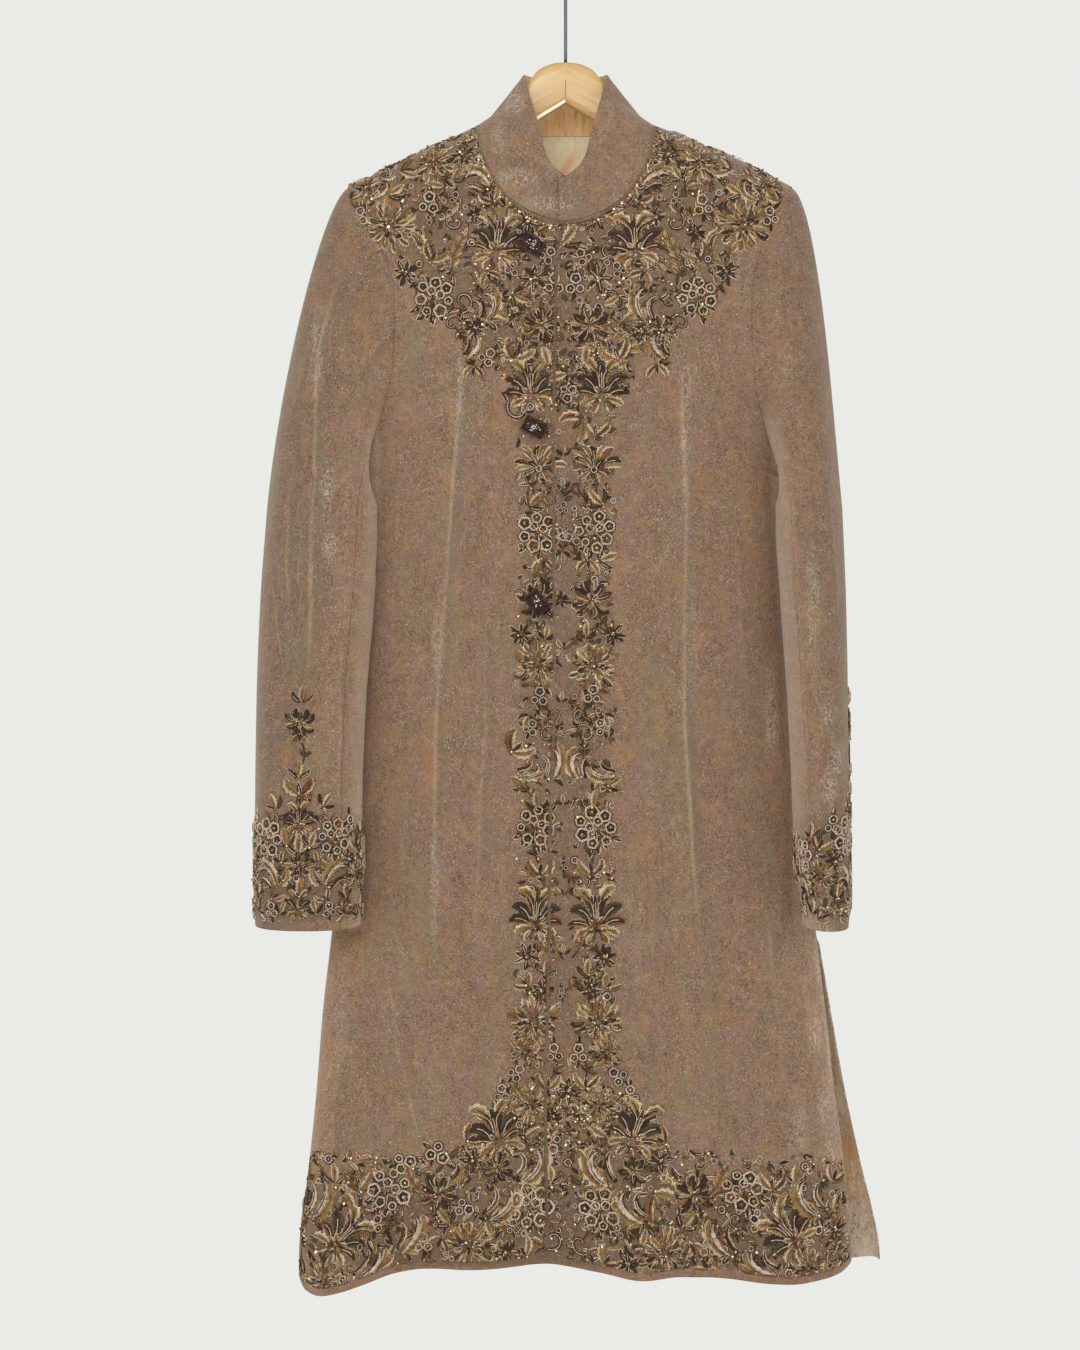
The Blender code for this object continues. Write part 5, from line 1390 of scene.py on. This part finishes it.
placketMotifs = (
    ("leafPair", 26, -449, 0.89, 0), ("fanLotus", 24, -477, 0.92, 0), ("bud", 27, -512, 0.89, 40),
    ("curl", 9, -500, 0.66, 0), ("ringCluster", 24, -540, 1.02, 0), ("rings", 6, -545, 0.75, 90),
    ("leafPair", 20, -570, 0.75, 180), ("darkFlower", 23, -601, 1.03, 0), ("starFlower", 40, -631, 0.89, 0),
    ("bud", 17, -628, 0.66, 10), ("chrysanthemum", 24, -657, 1.05, 0), ("rings", 24, -684, 0.85, 0),
    ("curl", 12, -700, 0.75, 0), ("bud", 34, -706, 0.66, 200), ("rings", 32, -712, 0.75, 20),
    ("curl", 15, -718, 0.85, 180), ("crescent", 15, -745, 0.89, -14), ("crescent", 33, -748, 0.75, 60),
    ("bud", 42, -760, 0.75, -60), ("bud", 25, -778, 0.85, 0), ("ringCluster", 25, -800, 1.05, 20),
    ("leafPair", 22, -836, 0.89, 0), ("curl", 12, -848, 0.75, 60), ("lotus", 26, -876, 1.17, 0),
    ("fern", 10, -902, 0.56, -12), ("starFlower", 34, -914, 0.94, 10), ("bud", 18, -926, 0.75, 0),
    ("starFlower", 20, -944, 0.85, 30), ("leafPair", 38, -938, 0.66, -40), ("chrysanthemum", 27, -972, 1.13, 0),
    ("chrysanthemum", 36, -1000, 0.75, 0), ("rings", 10, -1000, 0.85, 0), ("rings", 44, -1018, 0.85, 50),
    ("leafPair", 16, -1024, 0.85, 0),
)
betweenMotifs = (  # between the two columns, on the right front only
    ("bud", -3, -470, 0.5, 0), ("bud", -3, -498, 0.5, 0), ("rings", -3, -520, 0.55, 0), ("rings", -3, -539, 0.6, 90),
    ("bud", -3, -562, 0.5, 180), ("starFlower", -3, -600, 0.6, 0), ("leafPair", -2, -640, 0.5, 0),
    ("bud", -3, -686, 0.5, 0), ("rings", -3, -716, 0.5, 0), ("bud", -2, -776, 0.5, 0), ("rings", -3, -834, 0.5, 0),
    ("leafPair", -3, -856, 0.5, 0), ("bud", -3, -908, 0.5, 0), ("rings", -3, -948, 0.5, 0),
)
hemMotifs = (
    ("chrysanthemum", 30, -1044, 0.85, 0), ("rings", 56, -1036, 0.8, 0), ("lotus", 62, -1066, 1.2, -18),
    ("bud", 30, -1070, 0.9, 60), ("crescent", 36, -1098, 1.15, 14), ("starFlower", 82, -1094, 0.9, 0),
    ("leafPair", 82, -1074, 0.8, 50), ("ringCluster", 30, -1134, 1.1, 0), ("crescent", 62, -1128, 1.15, 30),
    ("bud", 14, -1108, 0.8, 0), ("chrysanthemum", 86, -1164, 1.1, 0), ("starFlower", 54, -1172, 0.9, 0),
    ("curl", 12, -1164, 1.0, 0), ("bud", 106, -1142, 0.9, -40), ("darkFlower", 112, -1122, 1.0, 0),
    ("lotus", 196, -1146, 1.2, 50), ("ringCluster", 156, -1118, 1.1, 30), ("crescent", 142, -1154, 1.05, 20),
    ("crescent", 176, -1168, 1.0, 40), ("rings", 126, -1162, 0.9, 0), ("crescent", 222, -1122, 1.15, 20),
    ("chrysanthemum", 214, -1174, 0.9, 0), ("leafPair", 182, -1112, 0.95, 0), ("bud", 204, -1106, 0.9, 0),
    ("fern", 130, -1114, 0.85, -30), ("starFlower", 240, -1150, 0.9, 0), ("bud", 160, -1176, 0.8, 70),
    ("curl", 150, -1140, 0.8, 0), ("leafPair", 38, -1172, 0.8, -30), ("bud", 68, -1150, 0.8, 160),
    ("paisley", 98, -1102, 0.8, 30), ("curl", 236, -1168, 0.8, 0), ("rings", 196, -1180, 0.7, 0),
    ("bud", 120, -1180, 0.7, 80), ("leafPair", 236, -1180, 0.8, 0), ("rings", 46, -1150, 0.7, 0),
    ("leafPair", 240, -1108, 0.9, -30), ("paisley", 244, -1130, 0.7, -20), ("rings", 168, -1142, 0.8, 20),
    ("leafPair", 112, -1164, 0.8, 200), ("darkFlower", 60, -1100, 0.7, 0), ("bud", 190, -1124, 0.8, -30),
    ("starFlower", 250, -1180, 0.7, 0),
)
fillers = dict(yoke=430, placket=180, hem=600)  # small leaves, knots and sequins between the motifs


def stems(work, placed, side):  # thin stems from each motif to the nearest one before it
    for k in range(2, len(placed)):
        away = np.hypot(*(placed[:k, :2] - placed[k, :2]).T)
        near = int(np.argmin(away))
        if not 16 < away[near] < 62:
            continue
        a, b = placed[k, :2], placed[near, :2]
        t = np.linspace(0.12, 0.88, 8)[:, None]
        bow = np.array([b[1] - a[1], a[0] - b[0]]) * work.chance.uniform(-0.3, 0.3)
        path = a + (b - a) * t + bow * np.sin(math.pi * t)
        work.at(centre * (side != 0), 0, 0, 1, 1)
        path[:, 0] *= side or 1
        work.cord(path, 0.8, dark, 0.5)
        work.cord(path + (0.35, 0.3), 0.4, (moss, gold, copper)[k % 3], 1.0)
        for j in (2, 4, 6) if side else (3,):
            for flip in (-1, 1):
                lean = math.degrees(math.atan2(-(path[j] - path[j - 1])[0], (path[j] - path[j - 1])[1]))
                work.leaf(path[j, 0], path[j, 1], lean + flip * 50, work.chance.uniform(4, 8), 2.8, -flip * 0.6,
                          (dark, (pale, copper), moss, (gold, dark))[(k + j) % 4], (gold, None), 0.9)


def small(work, k, gap):  # one of the little things that fill the ground
    pick = k % 8
    if gap > 7 and pick < 5:
        (work.bud, work.curl, work.leafPair, work.rings, work.starFlower)[pick]()
        return 8.0
    if pick < 5:
        work.leaf(0, -4, 0, work.chance.uniform(6, 11), 3.4, work.chance.uniform(-1.4, 1.4),
                  (moss, (pale, copper), dark, (pale, gold), (mauve, dark))[pick], (gold, mauve, pale, None), 0.9)
        return 3.0
    if pick < 6:
        work.ring(0, 0, work.chance.uniform(1.9, 2.9), (pale, mauve, gold)[k % 3], 1.1)
        return 2.6
    work.seeds(0, 0, 2.8, 4, (gold, bead, sequin))
    return 2.2


button = dict(
    places=((-30.5, -288.5, 34.0), (-28.0, -448.5, 28.0), (-25.5, -602.0, 52.0)),  # across, height, turn
    size=(21.0, 14.5, 5.5), pitch=1.75, bead=0.95, pale=15, clear=1.2,
)
largeMotifs = ("chrysanthemum", "ringCluster", "lotus", "darkFlower", "fanLotus")
neckRound = dict(across=80.0, down=97.0)  # the fillers stay outside this oval round the neck


def sewn(side, motifs, top, foot, count, seed):  # one side's motifs, with stems and small things between them
    work = Needlework(seed)
    spot = frontSpot(side)
    placed = []
    if motifs is placketMotifs and side > 0:  # the right column is a little wider
        motifs = [(kind, across + 0.6, height, size * 1.02, turn) for kind, across, height, size, turn in motifs]
        motifs += betweenMotifs
    for kind, across, height, size, turn in motifs:
        x = centre + side * across
        local = spot(np.array([x, x + 1.0, x]), np.array([height, height, height - 1.0]), np.zeros(3))
        stretch = [max(np.linalg.norm(local[k] - local[0]), 1e-6) for k in (1, 2)]
        squash = tuple(float(np.clip(1 / much, 0.5, 1.0)) for much in stretch)
        jitter = work.chance.uniform(-1, 1, 4)
        work.at(x + 1.2 * jitter[0], height + 1.2 * jitter[1], turn + 7 * jitter[2], size * (1 + 0.04 * jitter[3]),
                side, squash)
        getattr(work, kind)()
        placed.append((across, height, 17 * size * (1.0 if kind in largeMotifs else 0.62)))
    placed = np.array(placed)
    stems(work, placed, side)
    for k in range(44 if top > -200 else 0):  # sequins, knots and small leaves beside the collar's seam
        around = math.radians(2 * k + 1.5 + work.chance.uniform(-0.6, 0.6))
        work.at(centre + side * 83 * math.sin(around), cloth["neckPoint"] - 100.5 * math.cos(around),
                90 - math.degrees(around), 1, side)
        if k % 3 == 1:
            work.leaf(0, -3, work.chance.uniform(-20, 50), work.chance.uniform(6, 9), 3.4, 0.8,
                      ((pale, gold), (gold, dark))[k % 2], pale, 1.1)
        else:
            work.seeds(0, 0, 1.4, 2, (sequin, gold))
    made, tries = 0, 0
    while made < count and tries < count * 30:
        tries += 1
        height = work.chance.uniform(foot, top)
        across = work.chance.uniform(6 if -1000 < height < -440 else 1, float(smooth(embroidered, "reach", height)))
        gap = (np.hypot(placed[:, 0] - across, placed[:, 1] - height) - placed[:, 2]).min()
        outside = (across / neckRound["across"]) ** 2 + ((height - cloth["neckPoint"]) / neckRound["down"]) ** 2
        if gap < -3.5 or outside < 1:
            continue
        work.at(centre + side * across, height, work.chance.uniform(0, 360), work.chance.uniform(0.75, 1.1), side)
        placed = np.vstack([placed, (across, height, small(work, made, gap))])
        made += 1
    return work


def onRight(x, z):  # what lies past the right front's edge is sewn on the right front
    return (x > smooth(rightEdge, "x", z)) & (z < -270)


def noButton(x, z):  # nothing is sewn under a button, or past the shoulder's tip
    clear = (z < -256) | ((x > -199) & (x < 206))
    for at, height, turn in button["places"]:
        c, s = math.cos(math.radians(turn)), math.sin(math.radians(turn))
        along, aside = (x - at) * c - (z - height) * s, (x - at) * s + (z - height) * c
        long, short = (size / 2 + button["clear"] for size in button["size"][:2])
        clear &= (np.abs(along) > long) | (np.abs(aside) > short)
    return clear


regions = (("yoke", yokeMotifs, -176, -432), ("placket", placketMotifs, -432, -1030), ("hem", hemMotifs, -1030, -1183))
for number, (name, motifs, top, foot) in enumerate(regions):
    left, right = (sewn(side, motifs, top, foot, fillers[name], 11 + 10 * number + side) for side in (-1, 1))
    layOn(f"embroidery_{name}_left", [left.gathered(lambda x, z: ~onRight(x, z) & noButton(x, z))], frontSpot(-1))
    layOn(f"embroidery_{name}_right", [right.gathered(), left.gathered(onRight)], frontSpot(1))


def sleeveSpot(side, turn):  # round the sleeve from a place on it, and down it
    grid, normals = sleeveGrid(side)
    level = grid[:, :, 2].mean(axis=1)
    first = round(turn / 360 * sleeve["steps"])
    grid, normals = np.roll(grid, -first, axis=1), np.roll(normals, -first, axis=1)
    closed, turned = (np.concatenate([values, values[:, :1]], axis=1) for values in (grid, normals))
    girths = np.array([lengths(ring)[-1] for ring in closed])
    even, evenNormals = np.swapaxes([evenly(ring, lengths(ring), 241, normal)
                                     for ring, normal in zip(closed, turned)], 0, 1)

    def found(x, z, rise):
        row = np.interp(-z, -level, np.arange(len(level)))
        i = np.clip(row.astype(int), 0, len(level) - 2)
        column = (x / np.interp(row, np.arange(len(level)), girths) % 1.0) * 240
        j = np.clip(column.astype(int), 0, 239)
        a, b = (row - i)[:, None], (column - j)[:, None]
        place, normal = (table[i, j] * (1 - a) * (1 - b) + table[i + 1, j] * a * (1 - b)
                         + table[i, j + 1] * (1 - a) * b + table[i + 1, j + 1] * a * b for table in (even, evenNormals))
        return place + normal * rise[:, None]
    return found


# motif, across from the middle of the cuff, height, size, turn
cuffMotifs = (
    ("bud", 0, -684, 0.75, 0), ("darkFlower", 0, -708, 0.78, 0), ("leafPair", 0, -722, 0.5, 180),
    ("bud", 0, -748, 0.8, 0), ("leafPair", 0, -762, 1.0, 0), ("curl", 22, -790, 0.6, 20), ("bud", 24, -776, 0.7, -30),
    ("lotus", 0, -790, 0.66, 0), ("ringCluster", 31, -806, 0.95, 0), ("rings", 50, -796, 0.8, 0),
    ("bud", 12, -808, 0.75, -14), ("darkFlower", 0, -830, 0.66, 0), ("crescent", 34, -843, 0.85, -60),
    ("paisley", 16, -838, 0.62, 20), ("lotus", 0, -862, 0.6, 0), ("chrysanthemum", 58, -838, 0.72, 0),
    ("curl", 46, -864, 0.75, 0), ("rings", 26, -868, 0.7, 0), ("bud", 14, -866, 0.6, 20),
    ("leafPair", 58, -812, 0.75, 20), ("ringCluster", 82, -822, 0.9, 0), ("bud", 70, -800, 0.7, 0),
    ("crescent", 84, -852, 0.75, -60), ("bud", 68, -866, 0.7, 0), ("lotus", 108, -834, 0.85, 0),
    ("leafPair", 108, -808, 0.7, 0), ("curl", 98, -866, 0.75, 0), ("bud", 122, -866, 0.75, 0),
    ("darkFlower", 134, -838, 0.75, 0), ("rings", 128, -812, 0.7, 0), ("bud", 142, -868, 0.7, 0),
    ("leafPair", 36, -872, 0.5, 90), ("bud", 0, -814, 0.9, 0), ("leafPair", 11, -826, 0.55, 50),
    ("bud", 0, -848, 0.8, 0), ("leafPair", 20, -855, 0.55, 30), ("bud", 42, -852, 0.6, 10),
    ("rings", 84, -872, 0.5, 0), ("leafPair", 56, -874, 0.5, 60), ("starFlower", 46, -826, 0.7, 0),
    ("starFlower", 70, -846, 0.7, 0),
)
cuffTop = dict(x=(0, 6, 16, 30, 50, 200), z=(-752, -758, -772, -786, -794, -800))


def embroiderCuff(side, name, turn, reach, seed):
    work = Needlework(seed)
    placed = []
    for kind, across, height, size, lean in cuffMotifs:
        for flip in (-1, 1) if across else (1,):
            if across <= reach:
                jitter = work.chance.uniform(-1, 1, 4)
                work.at(flip * across + jitter[0], height + jitter[1], lean + 7 * jitter[2],
                        size * (1 + 0.05 * jitter[3]), flip)
                getattr(work, kind)()
                placed.append((flip * across, height, 11 * size))
    placed = np.array(placed)
    stems(work, placed, 0)
    made, tries = 0, 0
    while made < 200 and tries < 6000:
        tries += 1
        across, height = work.chance.uniform(-reach, reach), work.chance.uniform(-876, -752)
        gap = (np.hypot(placed[:, 0] - across, placed[:, 1] - height) - placed[:, 2]).min()
        if gap < -4.5 or height > float(smooth(cuffTop, "z", abs(across), key="x")):
            continue
        work.at(across, height, work.chance.uniform(0, 360), work.chance.uniform(0.7, 1.0), 1)
        small(work, made, gap)
        placed = np.vstack([placed, (across, height, 3.0)])
        made += 1
    layOn("embroidery_cuff_" + name, [work.gathered()], sleeveSpot(side, turn))


embroiderCuff(-1, "left", 85, 150, 41)
embroiderCuff(1, "right", 12, 120, 43)


def beadedButton(number):
    low, high = (np.array(corner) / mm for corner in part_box(f"button_{number}"))
    middle = (low + high) / 2
    across, height, turn = button["places"][number - 1]
    y = bodyY(np.array([across, across + 2, across]), np.array([height, height, height + 2]), creased=False)
    right, up = Vector((2, y[1] - y[0], 0)).normalized(), Vector((0, y[2] - y[0], 2)).normalized()
    normal = right.cross(up)
    normal = normal if normal.y < 0 else -normal
    up = normal.cross(right).normalized()
    turned = math.radians(-turn)
    along = right * math.cos(turned) + up * math.sin(turned)
    aside = normal.cross(along)
    chance = np.random.default_rng(number)
    long, short, thick = button["size"]
    points, faces, picks, count = [], [], [], 0

    def bead(x, y, z, radius, pick):  # a whole round bead
        nonlocal count
        around, lift = np.linspace(0, 2 * math.pi, 8)[None, :-1], np.radians([6, 62, 118, 174])[:, None]
        flat = np.sin(lift)
        ball = np.stack([flat * np.cos(around), flat * np.sin(around), np.cos(lift) + 0 * around], axis=2) * radius
        points.append((ball + (x, y, z)).reshape(-1, 3))
        faces.append(tubeFaces(4, 7, count))
        picks.append(np.full(21, pick))
        count += 28

    pitch, radius = button["pitch"], button["bead"]
    lines, columns = (np.arange(-reach / 2 + radius, reach / 2 - radius / 2, pitch) for reach in (long, short))
    spots = [(a, b, thick / 2 - radius - 0.05 * thick * ((2 * a / long) ** 4 + (2 * b / short) ** 4))
             for a in lines for b in columns]
    endA, endB = long / 2 - radius * 0.7, short / 2 - radius * 0.7
    for level in (thick / 2 - 2.9, thick / 2 - 4.4):
        spots += [(a, b, level) for a in lines for b in (-endB, endB)]
        spots += [(a, b, level) for b in columns for a in (-endA, endA)]
    for a, b, c in spots:
        a, b = a + chance.uniform(-0.08, 0.08), b + chance.uniform(-0.08, 0.08)
        bead(a, b, c, radius * chance.uniform(0.95, 1.05), 0)
    # white beads clustered in the middle: painted highlights on the glass beads
    for _ in range(button["pale"]):
        bead(chance.normal(0, 3.0), chance.normal(0, 2.1), thick / 2 - 0.3, chance.uniform(0.5, 0.72), 1)
    endA, endB = long / 2 - 0.4, short / 2 - 0.4  # a plain block inside the beads
    points.append(np.array([(a, b, c) for c in (-thick / 2 + 0.1, thick / 2 - 1.3)
                            for a, b in ((-endA, -endB), (endA, -endB), (endA, endB), (-endA, endB))]))
    faces.append(count + np.array([(0, 3, 2, 1), (4, 5, 6, 7), (0, 1, 5, 4), (1, 2, 6, 5), (2, 3, 7, 6), (3, 0, 4, 7)]))
    picks.append(np.zeros(6))
    local = np.concatenate(points)
    placed = middle + local @ np.array([along, aside, normal])
    made = addPiece(f"beaded_button_{number}", placed, np.concatenate(faces), [glass, highlightBead], np.concatenate(picks))
    dress(made, f"button_{number}")


glass = beadFinish("brown_glass", 520.0, ((0.35, tone(34, 16, 14)), (0.55, tone(62, 34, 28)), (0.7, tone(92, 58, 46))),
                   (0.2, 0.25), 1300.0, (0.5, 0.15))
highlightBead = beadFinish("white_bead_highlight", 700.0, (tone(206, 196, 188), tone(244, 238, 230)), (0.2, 0.2), 1300.0, (0.4, 0.1),
                   depth=0.0001)
for number in (1, 2, 3):
    beadedButton(number)
print("buttons made")


def place(made, at, look):
    made.location = at
    made.rotation_euler = (Vector(look) - Vector(at)).to_track_quat("-Z", "Y").to_euler()
    bpy.context.scene.collection.objects.link(made)
    return made


room = dict(background=tone(234, 235, 230), floor=-1.56, keyPower=38.0, sidePower=18.0, backPower=20.0)
camera = bpy.data.objects.new("camera", bpy.data.cameras.new("camera"))
camera.data.sensor_width = 36.0
camera.data.lens = 81.5
camera.data.clip_end = 50.0
place(camera, (-0.023, -2.75, -0.666), (-0.023, 0.0, -0.666))
bpy.context.scene.camera = camera

lamps = (("key", (-0.6, -3.1, 0.5), 1.4, room["keyPower"]), ("left", (-2.3, -2.1, -0.3), 1.8, room["sidePower"]),
         ("right", (2.3, -2.1, -0.5), 1.8, room["sidePower"]), ("behind", (0.5, 3.0, 0.4), 2.0, room["backPower"]))
for name, at, size, power in lamps:
    lamp = bpy.data.lights.new(name, "AREA")
    lamp.shape, lamp.size, lamp.energy = "DISK", size, power
    place(bpy.data.objects.new(name, lamp), at, (0.0, 0.0, -0.6))

world = bpy.data.worlds.new("studio")
world.use_nodes = True
world.node_tree.nodes["Background"].inputs["Color"].default_value = room["background"]
bpy.context.scene.world = world
bpy.context.scene.view_settings.view_transform = "Standard"

disc = bpy.data.meshes.new("floor")
turn = np.linspace(0, 2 * math.pi, 97)[:-1]
disc.from_pydata([(1.1 * math.cos(a), 1.1 * math.sin(a), room["floor"]) for a in turn], [], [tuple(range(96))])
floor = bpy.data.objects.new("floor", disc)
bpy.context.scene.collection.objects.link(floor)
paper = Finish("floor_paper")
paper.set("Roughness", 0.9)
paper.set("Base Color", paper.mix(paper.noise(3.0, 3).over(0.3, 0.7), tone(226, 227, 223), tone(232, 233, 229)))
disc.materials.append(paper.made)
print("room made")
